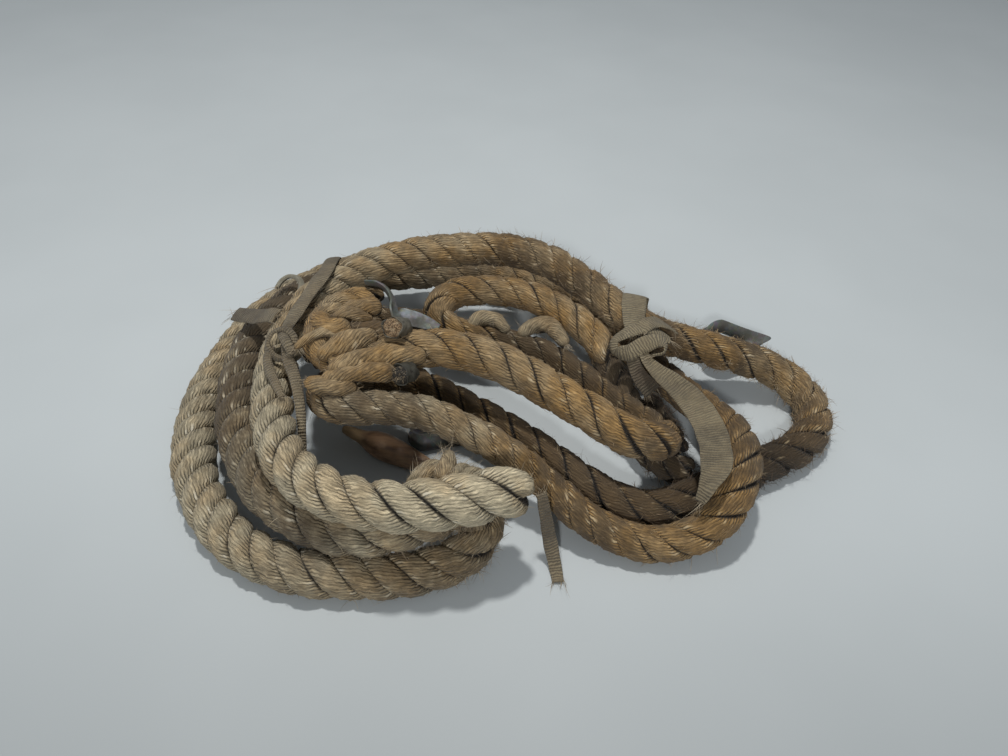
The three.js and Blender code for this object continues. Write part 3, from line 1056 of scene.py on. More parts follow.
@dataclass
class LooseStrand:
    """One strand by itself: a bundle of yarns that has come out of the lay.

    Attributes:
        name: the piece's name.
        points: its route, in millimetres.
        radii: its radii, evenly spaced along it, in millimetres.
        tan: 0 for weathered grey, 1 for tan.
        soil_and_painted_light: how dirty it is.
        sides: how many corners each ring has.
    """

    name: str
    points: list[Point]
    radii: list[float]
    tan: float = 0.8
    soil_and_painted_light: float = 0.1
    sides: int = 18

    def __post_init__(self) -> None:
        """Lays out the strand's line and its frames."""
        self.rng = np.random.default_rng(SEED + 11 * len(self.points) + abs(int(self.points[0][0])))
        self.line = smooth_line(placed(self.points), 0.002)
        self.along = running(step_lengths(self.line))
        self.way = unit(np.gradient(self.line, axis=0))
        up = np.array([0.05, -0.35, 0.93])
        self.rise = unit(up - self.way * (self.way @ up)[:, None])
        self.side = np.cross(self.way, self.rise)

    def build(self) -> bpy.types.Object:
        """Makes the strand as one closed tube with uneven yarns.

        Returns:
            The object.
        """
        count = len(self.line)
        size = domed(spread(self.radii, self.along) * MM, self.along, 0.06)
        size = size * (1 + 0.07 * wander(self.rng, count, 6))
        theta = np.linspace(-math.pi, math.pi, self.sides + 1)
        spin = theta[None] - self.along[:, None] * 65 + self.rng.uniform(0, 6)
        lumps = 0.07 * np.sin(spin * 3) + 0.045 * np.sin(spin * 5 + 1.3)
        up, over = np.cos(theta)[None, :, None], np.sin(theta)[None, :, None]
        across = self.rise[:, None] * up + self.side[:, None] * over
        places = self.line[:, None] + across * (size[:, None] * (1 + lumps))[..., None]
        places[..., 2] = np.maximum(places[..., 2], FLOOR_GAP)
        uv = np.stack(np.broadcast_arrays(self.along[:, None], spin / (2 * math.pi)), axis=-1)
        tone = np.ones((count, self.sides + 1, 4))
        tone[..., 0] = self.tan
        tone[..., 1] = self.soil_and_painted_light
        # The angle round the strand, less on lumps, from which the rope finish paints flank glints and
        # groove shade.
        tone[..., 2] = np.clip((1 - np.cos(theta)) / 1.9 - 1.2 * lumps, 0, 1)
        return capped_tubes(self.name, [{"places": places, "uv": uv, "tone": tone}])

    def tufts(self, patch: FibrePatch, count: int, reach: float) -> None:
        """Adds frayed fibres at the strand's ends and a few along it.

        Args:
            patch: where the fibres are gathered.
            count: how many.
            reach: their usual length, in metres.
        """
        rng = self.rng
        last = len(self.line) - 1
        at_end = rng.random(count) < 0.6
        rows = np.where(at_end, rng.choice([0, last], count), rng.integers(0, last + 1, count))
        turn = rng.uniform(-math.pi, math.pi, count)
        out = self.rise[rows] * np.cos(turn)[:, None] + self.side[rows] * np.sin(turn)[:, None]
        size = np.interp(rows, np.linspace(0, last, len(self.radii)), self.radii) * MM
        end = np.where(rows == 0, -1.0, np.where(rows == last, 1.0, 0.3))[:, None]
        roots = self.line[rows] + out * (size * np.where(np.abs(end[:, 0]) == 1.0, 0.5, 0.9))[:, None]
        ways = self.way[rows] * end + out * 0.5 + rng.normal(size=(count, 3)) * 0.35
        bends = rng.normal(size=(count, 3)) * 0.4 - np.array([0, 0, 0.15])
        lengths = rng.gamma(2.2, reach / 2.2, count) + 0.001
        tan = np.clip(self.tan + rng.normal(-0.15, 0.2, count), 0, 1)
        soil_and_painted_light = np.clip(self.soil_and_painted_light + rng.normal(0, 0.2, count), 0, 1)
        tones = np.stack([tan, soil_and_painted_light], axis=1)
        widths = rng.uniform(0.0002, 0.0004, count)
        patch.grow(roots, ways, bends, np.minimum(lengths, LONGEST_FIBRE), widths, tones)


# ---------------------------------------------------------------------------------------------
# Webbing
# ---------------------------------------------------------------------------------------------


@dataclass
class Webbing:
    """A flat woven strap that follows a route, faced a given way at each point.

    Attributes:
        name: the piece's name.
        points: its route, in millimetres.
        facings: the way its outer side looks at each point.
        width: its widths, evenly spaced along it, in millimetres.
        thick: its thickness, in millimetres.
        cup: how far its edges curl down from its middle, in millimetres.
        crumple: how far its surface wanders, in millimetres.
        step: the distance between its rows, in millimetres.
        across: how many corners each side of a row has.
        node: the solid it stands for, or nothing.
        held: how it is held: folded, laid or hung; not used.
    """

    name: str
    points: list[Point]
    facings: list[Point]
    width: list[float]
    thick: float = 1.9
    cup: float = 1.2
    crumple: float = 1.0
    step: float = 1.6
    across: int = 15
    node: str = ""
    held: str = "folded"

    def __post_init__(self) -> None:
        """Lays out the strap's line and frames."""
        self.rng = np.random.default_rng(SEED + 31 * len(self.points) + int(self.width[0]))
        anchors = placed(self.points)
        self.line = smooth_line(anchors, self.step * MM)
        self.along = running(step_lengths(self.line))
        found = nearest(self.line, anchors)
        faced = unit(np.array(self.facings, dtype=float))
        rows = np.stack([np.interp(self.along, self.along[found], faced[:, k]) for k in range(3)], axis=1)
        self.tangents = unit(np.gradient(self.line, axis=0))
        self.facing = square_to(rows, self.tangents)
        self.side = np.cross(self.tangents, self.facing)

    @property
    def length(self) -> float:
        """The strap's length along its middle."""
        return float(self.along[-1])

    def build(self) -> bpy.types.Object:
        """Makes the strap as a closed strip.

        Returns:
            The object.
        """
        count, across = len(self.line), self.across
        v = np.linspace(-1, 1, across)
        wide = spread(self.width, self.along)[:, None] * MM / 2
        wide = wide * (1 + 0.05 * wander(self.rng, count, 8))[:, None]
        waves = sum(
            wander(self.rng, count, 10)[:, None] * np.cos(math.pi * k * (v[None] + 1) / 2)
            for k in range(3)
        )
        low = -self.cup * MM * v[None] ** 2 + self.crumple * MM * 0.5 * waves
        middle = self.line[:, None] + self.side[:, None] * (wide * v[None])[..., None]
        edge = np.sqrt(np.clip(1 - np.abs(v) ** 8, 0.15, 1))[None]
        half = self.thick * MM / 2 * edge
        top = middle + self.facing[:, None] * (low + half)[..., None]
        bottom = middle + self.facing[:, None] * (low - half)[..., None]
        places = np.concatenate([top, bottom[:, ::-1]], axis=1)
        places[..., 2] = np.maximum(places[..., 2], FLOOR_GAP)
        uv = np.empty((count, 2 * across, 2))
        uv[..., 0] = self.along[:, None]
        uv[..., 1] = np.concatenate([wide * v[None], (wide * v[None])[:, ::-1]], axis=1)
        grid = np.arange(count * 2 * across).reshape(count, 2 * across)
        turned = np.roll(grid, -1, axis=1)
        quads = np.stack([grid[:-1], turned[:-1], turned[1:], grid[1:]], axis=-1).reshape(-1, 4).tolist()
        for row in (grid[0].tolist(), grid[-1].tolist()):
            quads += [[row[i], row[i + 1], row[-2 - i], row[-1 - i]] for i in range(across - 1)]
        piece = mesh_piece(self.name, places.reshape(-1, 3), quads, uv.reshape(-1, 2))
        close_seams(piece)
        return piece

    def ends(self, name: str, count: int, reach: float) -> bpy.types.Object:
        """Threads that hang out of the strap's two cut ends.

        Args:
            name: the piece's name.
            count: how many threads at each end.
            reach: their usual length, in metres.

        Returns:
            The object.
        """
        rng = self.rng
        patch = FibrePatch()
        for end in (0, -1):
            way = self.tangents[end] * (1 if end else -1)
            wide = self.width[end] * MM / 2
            roots = self.line[end] + self.side[end] * rng.uniform(-wide, wide, (count, 1)) - way * 0.002
            ways = way + rng.normal(size=(count, 3)) * 0.3
            bends = rng.normal(size=(count, 3)) * 0.35 + np.array([0, 0, -0.2])
            lengths = rng.gamma(2.0, reach / 2, count) + 0.003
            tones = np.stack([rng.uniform(0, 0.4, count), rng.uniform(0, 0.5, count)], axis=1)
            widths = rng.uniform(0.0003, 0.0006, count)
            patch.grow(roots, ways, bends, np.minimum(lengths, LONGEST_FIBRE), widths, tones)
        return patch.mesh(name, rng)


# ---------------------------------------------------------------------------------------------
# Hard pieces
# ---------------------------------------------------------------------------------------------


def bare_selection() -> None:
    """Leaves edit mode and deselects everything."""
    if bpy.context.mode != "OBJECT":
        bpy.ops.object.mode_set(mode="OBJECT")
    bpy.ops.object.select_all(action="DESELECT")


def only(piece: bpy.types.Object) -> None:
    """Makes a piece the only selected one, and the active one."""
    bare_selection()
    bpy.context.view_layer.objects.active = piece
    piece.select_set(True)


def apply_modifiers(piece: bpy.types.Object) -> None:
    """Applies the active piece's modifiers in order."""
    for name in [modifier.name for modifier in piece.modifiers]:
        bpy.ops.object.modifier_apply(modifier=name)


def rounded_wall(piece: bpy.types.Object, thickness: float) -> None:
    """Gives the active piece, a bare sheet of steel, its wall and softly rounded edges.

    Args:
        piece: the sheet.
        thickness: the wall's, in metres.
    """
    wall = piece.modifiers.new("wall", "SOLIDIFY")
    wall.thickness = thickness
    wall.offset = 0.0
    edge = piece.modifiers.new("edge", "BEVEL")
    edge.width = 0.0005
    edge.segments = 2
    edge.limit_method = "ANGLE"
    apply_modifiers(piece)
    bpy.ops.object.shade_smooth_by_angle(angle=math.radians(40))


def subdivided(piece: bpy.types.Object, levels: int) -> None:
    """Smooths the active piece by subdivision.

    Args:
        piece: the piece; a modifier that it already has is applied first.
        levels: how many times each face is divided.
    """
    smooth = piece.modifiers.new("smooth", "SUBSURF")
    smooth.levels = smooth.render_levels = levels
    apply_modifiers(piece)
    bpy.ops.object.shade_smooth()


def place_in_mesh(piece: bpy.types.Object, turn: Point, at: Point) -> None:
    """Turns and moves a finished piece, and puts its place in its mesh.

    Args:
        piece: the piece, made at the origin.
        turn: the turn about X, Y and Z, in degrees.
        at: where its origin goes, in millimetres.
    """
    x, y, z = (Matrix.Rotation(math.radians(a), 4, axis) for a, axis in zip(turn, "XYZ"))
    move = Matrix.Translation(placed([at])[0].tolist())
    piece.data.transform(move @ z @ y @ x)


@dataclass
class Thimble:
    """A heart-shaped steel gutter that a rope's eye is turned round.

    Attributes:
        name: the piece's name.
        node: the solid it stands for.
        radius: the round end's inner radius, in millimetres.
        length: from the round end's middle to the point, in millimetres.
        width: the gutter's width, in millimetres.
        turn: its turn about X, Y and Z, in degrees.
        at: the round end's middle, in millimetres.
        seat: how far the ring lies outside the inner radius, as a share of half the width.
        cut: how far outside the ring the steel is taken away, as a share of half the width.
        flat: how much of the ring's height is kept.
        pinch: how much narrower it gets by the point.
        wall: the steel's thickness, in metres.
    """

    name: str
    node: str
    radius: float
    length: float
    width: float
    turn: Point
    at: Point
    seat: float = 0.55
    cut: float = 0.12
    flat: float = 0.92
    pinch: float = 0.62
    wall: float = 0.0017

    def build(self) -> bpy.types.Object:
        """Makes the gutter from a ring whose outer half is taken away, drawn out to a point.

        Returns:
            The object.
        """
        bare_selection()
        gutter = self.width / 2 * MM
        ring = self.radius * MM + gutter * self.seat
        bpy.ops.mesh.primitive_torus_add(
            major_radius=ring, minor_radius=gutter, major_segments=72, minor_segments=28
        )
        piece = bpy.context.active_object
        piece.name = piece.data.name = self.name
        bm = bmesh.new()
        bm.from_mesh(piece.data)
        outer = [v for v in bm.verts if v.co.xy.length > ring + gutter * self.cut]
        bmesh.ops.delete(bm, geom=outer, context="VERTS")
        for v in bm.verts:
            v.co.z *= self.flat
            if v.co.x > 0:
                drawn = v.co.x / ring
                v.co.x *= 1 + (self.length * MM / ring - 1) * drawn
                v.co.y *= 1 - self.pinch * drawn ** 1.3
        bm.to_mesh(piece.data)
        bm.free()
        rounded_wall(piece, self.wall)
        place_in_mesh(piece, self.turn, self.at)
        return piece


@dataclass
class OpenGutter:
    """The rim of a thimble that shows round the eye's strand ends, and its flattened side.

    Attributes:
        name: the piece's name.
        points: the middle of the metal, in millimetres.
        facings: the way its back looks at each point.
        widths: its widths, evenly spaced along it, in millimetres.
        hollow: how deep the gutter is, in millimetres, evenly spaced along it.
        wall: the steel's thickness, in metres.
    """

    name: str
    points: list[Point]
    facings: list[Point]
    widths: list[float]
    hollow: list[float]
    wall: float = 0.0018

    def build(self) -> bpy.types.Object:
        """Sweeps a shallow channel along the points and gives it a wall.

        Returns:
            The object.
        """
        line = Webbing(self.name, self.points, self.facings, self.widths, step=1.2)
        v = np.linspace(-1, 1, 17)
        wide = spread(self.widths, line.along)[:, None] * MM / 2
        deep = spread(self.hollow, line.along)[:, None] * MM
        ripple = 0.0004 * wander(line.rng, len(line.along), 9)[:, None] * np.cos(2.2 * v)[None]
        places = line.line[:, None] + line.side[:, None] * (wide * v[None])[..., None]
        places = places + line.facing[:, None] * (deep * (v[None] ** 2 - 0.4) + ripple)[..., None]
        faces = grid_faces(*places.shape[:2]).tolist()
        piece = mesh_piece(self.name, places.reshape(-1, 3), faces)
        only(piece)
        rounded_wall(piece, self.wall)
        return piece


@dataclass
class BoundEnd:
    """A strand end with tape wound round it, its cut fibres showing.

    Attributes:
        name: the piece's name.
        face: the middle of the cut face, in millimetres.
        back: where the bound strand comes from.
        radius: the strand's radius, in millimetres.
    """

    name: str
    face: Point
    back: Point
    radius: float

    @property
    def length(self) -> float:
        """The bound strand's length, in metres."""
        face, back = placed([self.face, self.back])
        return float(np.linalg.norm(face - back))

    def axes(self) -> tuple[np.ndarray, np.ndarray, np.ndarray, np.ndarray]:
        """The face's place, the two ways across it and the way it looks."""
        face, back = placed([self.face, self.back])
        way = unit(face - back)
        across = unit(np.cross([0.0, 0.0, 1.0], way))
        return face, across, np.cross(way, across), way

    def turned(self, piece: bpy.types.Object) -> None:
        """Turns a piece made along Z to look out of the face, and puts its place in its mesh."""
        face, across, up, way = self.axes()
        piece.data.transform(Matrix([*zip(across, up, way, face), (0, 0, 0, 1)]))

    def tape(self) -> bpy.types.Object:
        """A creased sleeve of tape, open at the face and drawn in at the back.

        Returns:
            The object.
        """
        bare_selection()
        rng = np.random.default_rng(SEED + abs(int(self.face[0])))
        long = self.length
        bpy.ops.mesh.primitive_cylinder_add(
            vertices=30, radius=self.radius * MM, depth=long, end_fill_type="NOTHING",
            location=(0, 0, -long / 2),
        )
        piece = bpy.context.active_object
        bpy.ops.object.transform_apply(location=True, rotation=False, scale=False)
        piece.name = piece.data.name = self.name
        bpy.ops.object.mode_set(mode="EDIT")
        bpy.ops.mesh.select_all(action="SELECT")
        bpy.ops.mesh.subdivide(number_cuts=7)
        bpy.ops.object.mode_set(mode="OBJECT")
        phases = rng.uniform(0, 6.28, 4)
        for vertex in piece.data.vertices:
            x, y, z = vertex.co
            turn = math.atan2(y, x)
            t = -z / long
            crease = 0.05 * math.sin(5 * turn + 9 * t + phases[0])
            crease += 0.04 * math.sin(3 * turn - 14 * t + phases[1])
            lip = 0.10 * math.exp(-t * 14) + 0.05 * math.sin(2 * turn + phases[2])
            scale = 1 + crease + lip - 0.22 * max(0.0, t - 0.55)
            vertex.co = (x * scale, y * scale, z + 0.0012 * math.sin(4 * turn + phases[3]) * (1 - t))
        wall = piece.modifiers.new("wall", "SOLIDIFY")
        wall.thickness = 0.0011
        subdivided(piece, 1)
        self.turned(piece)
        return piece

    def core(self, name: str) -> bpy.types.Object:
        """The cut strand inside the tape: a domed end with a twist in its fibres.

        Args:
            name: the piece's name.

        Returns:
            The object.
        """
        bare_selection()
        bpy.ops.mesh.primitive_uv_sphere_add(segments=32, ring_count=20, radius=self.radius * MM * 0.93)
        piece = bpy.context.active_object
        piece.name = piece.data.name = name
        low = -self.length * 0.92
        for vertex in piece.data.vertices:
            x, y, z = vertex.co
            radius = math.hypot(x, y)
            turn = math.atan2(y, x) + radius * 260
            swirl = 0.0007 * math.sin(4 * turn) * min(1.0, radius / 0.003)
            vertex.co = (x, y, z * 0.35 + swirl - 0.0012 if z > 0 else max(z * 6, low))
        bpy.ops.object.shade_smooth()
        self.turned(piece)
        return piece

    def threads(self, name: str, count: int) -> bpy.types.Object:
        """Short fibres that stand out of the cut face.

        Args:
            name: the piece's name.
            count: how many.

        Returns:
            The object.
        """
        rng = np.random.default_rng(SEED + 5 + abs(int(self.back[1])))
        face, across, up, way = self.axes()
        turn = rng.uniform(0, 2 * math.pi, count)
        out = np.sqrt(rng.random(count)) * self.radius * MM * 0.85
        roots = face + across * (np.cos(turn) * out)[:, None] + up * (np.sin(turn) * out)[:, None]
        roots = roots - way * 0.001
        ways = way + rng.normal(size=(count, 3)) * 0.35
        tones = np.stack([rng.uniform(0.3, 1, count), rng.uniform(0, 0.4, count)], axis=1)
        patch = FibrePatch()
        bends = rng.normal(size=(count, 3)) * 0.4
        lengths = rng.gamma(2, 0.0012, count) + 0.0015
        patch.grow(roots, ways, bends, lengths, rng.uniform(0.0003, 0.0006, count), tones)
        return patch.mesh(name, rng)


@dataclass
class Toggle:
    """A turned wooden toggle, pear-shaped with a blunt foot.

    Attributes:
        name: the piece's name.
        outline: its radius and the distance along it, in millimetres.
        turn: its turn about X, Y and Z, in degrees.
        at: where its tip lies, in millimetres.
    """

    name: str
    outline: list[tuple[float, float]]
    turn: Point
    at: Point

    def build(self) -> bpy.types.Object:
        """Spins the outline about its axis.

        Returns:
            The object.
        """
        mesh = bpy.data.meshes.new(self.name)
        verts = [(along * MM, radius * MM, 0.0) for radius, along in self.outline]
        mesh.from_pydata(verts, [(i, i + 1) for i in range(len(verts) - 1)], [])
        piece = bpy.data.objects.new(self.name, mesh)
        bpy.context.collection.objects.link(piece)
        only(piece)
        bpy.ops.object.mode_set(mode="EDIT")
        bpy.ops.mesh.select_all(action="SELECT")
        bpy.ops.mesh.spin(steps=28, angle=2 * math.pi, center=(0, 0, 0), axis=(1, 0, 0))
        bpy.ops.mesh.select_all(action="SELECT")
        bpy.ops.mesh.remove_doubles(threshold=0.00002)
        bpy.ops.mesh.normals_make_consistent(inside=False)
        bpy.ops.object.mode_set(mode="OBJECT")
        subdivided(piece, 2)
        place_in_mesh(piece, self.turn, self.at)
        return piece


# ---------------------------------------------------------------------------------------------
# Floor, lights and camera
# ---------------------------------------------------------------------------------------------


@dataclass(frozen=True)
class Studio:
    """A plain pale floor under two small area lights and a soft sky, seen from in front and above.

    Attributes:
        eye: the camera's place, in metres.
        dip: how far it looks down, in degrees.
        roll: how far it is turned about its own line of sight, in degrees.
        lens: its focal length, in millimetres, on a 36 mm sensor.
    """

    eye: tuple[float, float, float] = (-0.0116, -0.5753, 0.557)
    dip: float = 42.485
    roll: float = 3.54
    lens: float = 27.04

    def build(self) -> None:
        """Makes the floor, the lights and the camera."""
        corners = np.array([(-6, -6, 0), (6, -6, 0), (6, 6, 0), (-6, 6, 0)], dtype=float)
        floor = mesh_piece("floor", corners, [(0, 1, 2, 3)])
        floor.data.materials.append(FloorFinish("pale_floor").make())
        self.light("overhead", (-0.14, 0.3, 2.3), 0.14, 28.0, (1.0, 1.0, 0.98))
        self.light("front", (-0.3, -2.2, 1.55), 0.2, 22.0, (0.97, 0.99, 1.0))
        world = bpy.data.worlds.new("soft_room")
        world.use_nodes = True
        back = world.node_tree.nodes["Background"]
        back.inputs["Color"].default_value = (0.86, 0.93, 1.0, 1.0)
        back.inputs["Strength"].default_value = 0.26
        bpy.context.scene.world = world
        camera = bpy.data.objects.new("camera", bpy.data.cameras.new("camera"))
        camera.data.lens = self.lens
        camera.data.sensor_width = 36.0
        camera.location = self.eye
        tilt = Matrix.Rotation(math.radians(90 - self.dip), 4, "X")
        camera.rotation_euler = (tilt @ Matrix.Rotation(math.radians(self.roll), 4, "Z")).to_euler()
        bpy.context.collection.objects.link(camera)
        bpy.context.scene.camera = camera
        bpy.context.scene.view_settings.view_transform = "Standard"

    @staticmethod
    def light(name: str, at: Point, size: float, power: float, colour: Colour) -> None:
        """Adds one square area light, aimed at the origin.

        Args:
            name: its name.
            at: its place, in metres.
            size: its side, in metres.
            power: its power, in watts.
            colour: its colour.
        """
        lamp = bpy.data.lights.new(name, "AREA")
        lamp.size = size
        lamp.energy = power
        lamp.color = colour
        holder = bpy.data.objects.new(name, lamp)
        holder.location = at
        x, y, z = at
        holder.rotation_euler = (math.atan2(math.hypot(x, y), z), 0.0, math.atan2(x, -y))
        bpy.context.collection.objects.link(holder)


# ---------------------------------------------------------------------------------------------
# The heap
# ---------------------------------------------------------------------------------------------

# Soil is set stretch by stretch. It makes the low leg of the right-hand loop (stations 69 to 71) almost
# black, and below zero on the front of the top turn (stations 94 to 98) it brightens the rope: painted
# light where that stretch faces the front lamp.
LONG_STATIONS = stations(
    (0, 37, 25, 0.5, 0.2, 0.3), (4, 37, 24, 0.5, 0.15, 0.2), (9, 37, 24, 0.25, 0.08, 0.15),
    (12, 40, 25, 0.1, 0.0, 0.12), (15, 40, 25, 0.1, 0.12, 0.15), (18, 39, 25, 0.35, 0.28, 0.25),
    (20, 38, 26, 0.4, 0.25, 1.0), (22, 38, 26, 0.4, 0.25, 1.2), (24, 40, 26, 0.25, 0.2, 0.5),
    (28, 41, 27, 0.2, 0.45, 0.15), (32, 39, 25, 0.35, 0.5, 0.15), (38, 37, 25, 0.6, 0.2, 0.2),
    (41, 38, 27, 0.9, 0.2, 0.3), (44, 38, 27, 1.0, 0.25, 0.4), (47, 38, 27, 0.95, 0.06, 0.35),
    (49, 34, 23, 1.0, 0.12, 0.25), (51, 32, 21, 0.9, 0.25, 0.2), (53, 32, 21, 0.5, 0.16, 0.12),
    (55, 33, 21, 0.4, 0.2, 0.12), (58, 35, 25, 0.8, 0.3, 0.2), (62, 36, 29, 1.0, 0.36, 0.2),
    (67, 38, 31, 1.0, 0.5, 0.7), (69, 39, 32, 1.0, 0.9, 1.0), (71, 39, 32, 1.0, 1.0, 1.0),
    (73, 39, 32, 0.95, 0.25, 1.0), (75, 39, 32, 0.8, 0.12, 0.9), (77, 39, 31, 0.85, 0.15, 1.0),
    (79, 39, 28, 0.8, 0.25, 0.9), (82, 39, 26, 0.75, 0.22, 0.7), (85, 39, 26, 0.5, 0.08, 0.25),
    (88, 38, 26, 0.3, 0.05, 0.15), (91, 38, 26, 0.1, 0.0, 0.1), (94, 40, 27, 0.0, -0.2, 0.1),
    (96, 43, 29, 0.0, -0.25, 0.12), (98, 43, 30, 0.1, -0.2, 0.2),
)

SHORT_STATIONS = stations(
    (0, 37, 28, 0.9, 0.1, 0.3), (2, 39, 30, 0.8, 0.02, 0.15), (5, 39, 30, 0.85, 0.05, 0.15),
    (8, 38, 29, 0.9, 0.2, 0.2), (12, 36, 28, 0.95, 0.5, 0.25), (16, 35, 27, 0.85, 0.12, 0.35),
    (21, 35, 26, 0.85, 0.06, 0.3),
)

EYE_STATIONS = stations(
    (0, 31, 22, 0.8, 0.15, 0.3), (3, 32, 22, 0.7, 0.1, 0.3), (6, 31, 22, 0.7, 0.1, 0.3),
)


# The inner turns carry high soil and come out dark; on inner_right and inner_deep, which is nearly black,
# the darkness is painted shade for the heap's shaded middle.
INNER_TURNS: list[tuple[str, list[Point], list[Station]]] = [
    (
        "inner_back",
        [
            (-205, 20, 26), (-175, 58, 30), (-137, 84, 32), (-95, 86, 32), (-50, 66, 26), (0, 52, 20),
            (50, 40, 18),
        ],
        stations((0, 30, 23, 0.8, 0.45, 0.5), (6, 30, 23, 0.8, 0.45, 0.5)),
    ),
    (
        "inner_right",
        [
            (92, 52, 56), (104, 16, 50), (118, -14, 42), (130, -44, 30), (142, -74, 20), (160, -90, 18),
            (182, -98, 18),
        ],
        stations((0, 30, 23, 0.7, 0.6, 1.2), (6, 30, 23, 0.7, 0.75, 1.2)),
    ),
    (
        "inner_deep",
        [(146, -4, 24), (158, -24, 20), (168, -46, 18), (174, -70, 17)],
        stations((0, 24, 19, 0.8, 0.9, 1.0), (3, 24, 19, 0.8, 0.95, 1.0)),
    ),
]

SPLICE_STRANDS = [
    LooseStrand(
        "splice_swirl", [(-174, -18, 116), (-168, -36, 121), (-154, -46, 124), (-142, -38, 121)],
        [8, 9, 9.5, 8],
    ),
    LooseStrand(
        "splice_thin", [(-186, -68, 117), (-176, -60, 122), (-160, -52, 125), (-142, -55, 121)],
        [3, 4.5, 4.8, 3.5], 0.5,
    ),
    LooseStrand(
        "splice_a", [(-164, -74, 114), (-150, -68, 120), (-134, -58, 123), (-116, -48, 121)],
        [7, 9.5, 10, 8],
    ),
    LooseStrand(
        "splice_b", [(-152, -90, 110), (-135, -82, 117), (-104, -73, 120), (-70, -66, 115)],
        [8, 9.5, 9.5, 8],
    ),
    LooseStrand(
        "splice_c", [(-158, -96, 104), (-138, -92, 111), (-114, -89, 114), (-94, -87, 113)],
        [7, 9, 9, 8],
    ),
    LooseStrand(
        "splice_d", [(-172, -92, 100), (-158, -99, 104), (-142, -102, 105), (-126, -98, 104)],
        [6, 8, 8, 6],
    ),
    LooseStrand(
        "splice_e", [(-156, -6, 112), (-142, -9, 119), (-128, -8, 122), (-118, -8, 120)],
        [7, 9, 9, 7],
    ),
    LooseStrand(
        "splice_f", [(-162, -20, 113), (-148, -20, 121), (-136, -22, 122), (-124, -24, 120)],
        [6, 8, 6.5, 2.5],
    ),
    LooseStrand(
        "splice_g", [(-154, -34, 106), (-134, -34, 112), (-112, -36, 114), (-92, -42, 112)],
        [8, 10, 10.5, 9], 0.9, 0.3,
    ),
]

FRAYED_STRANDS = [
    LooseStrand(
        "frayed_a", [(-72, -186, 82), (-64, -173, 83), (-54, -165, 84), (-45, -170, 88), (-40, -184, 92)],
        [3, 5, 5.5, 5, 4], 0.2,
    ),
    LooseStrand(
        "frayed_d", [(-64, -190, 88), (-57, -178, 88), (-50, -171, 87), (-52, -160, 80)],
        [3, 5, 5, 3], 0.3,
    ),
    LooseStrand(
        "frayed_e", [(-36, -190, 95), (-33, -178, 91), (-30, -167, 85), (-24, -160, 78)],
        [4, 5.5, 5, 3], 0.2,
    ),
    LooseStrand(
        "frayed_b", [(-46, -188, 94), (-43, -172, 91), (-41, -158, 86), (-43, -147, 79)],
        [5, 7, 6.5, 4.5], 0.35,
    ),
    LooseStrand(
        "frayed_c", [(-28, -188, 94), (-22, -177, 90), (-14, -171, 84), (-5, -174, 80)],
        [5, 6, 5.5, 3], 0.3,
    ),
]

WORN_STRANDS = [
    LooseStrand(
        "worn_a", [(-42, 48, 56), (-29, 57, 65), (-14, 56, 66), (2, 43, 59)],
        [5, 8, 8, 5], 0.3, 0.2,
    ),
    LooseStrand(
        "worn_b", [(12, 42, 57), (28, 51, 65), (46, 51, 65), (62, 28, 59)],
        [5, 9, 9, 6], 0.4, 0.2,
    ),
]


class Slot(Enum):
    """Names for material slots, which the heap passes along but nothing reads."""

    ROPE = "rope"
    TAN_ROPE = "tan_rope"
    WEBBING = "webbing"
    BROWN_WEBBING = "brown_webbing"
    STEEL = "galvanised"
    WOOD = "wood"
    BINDING = "binding"


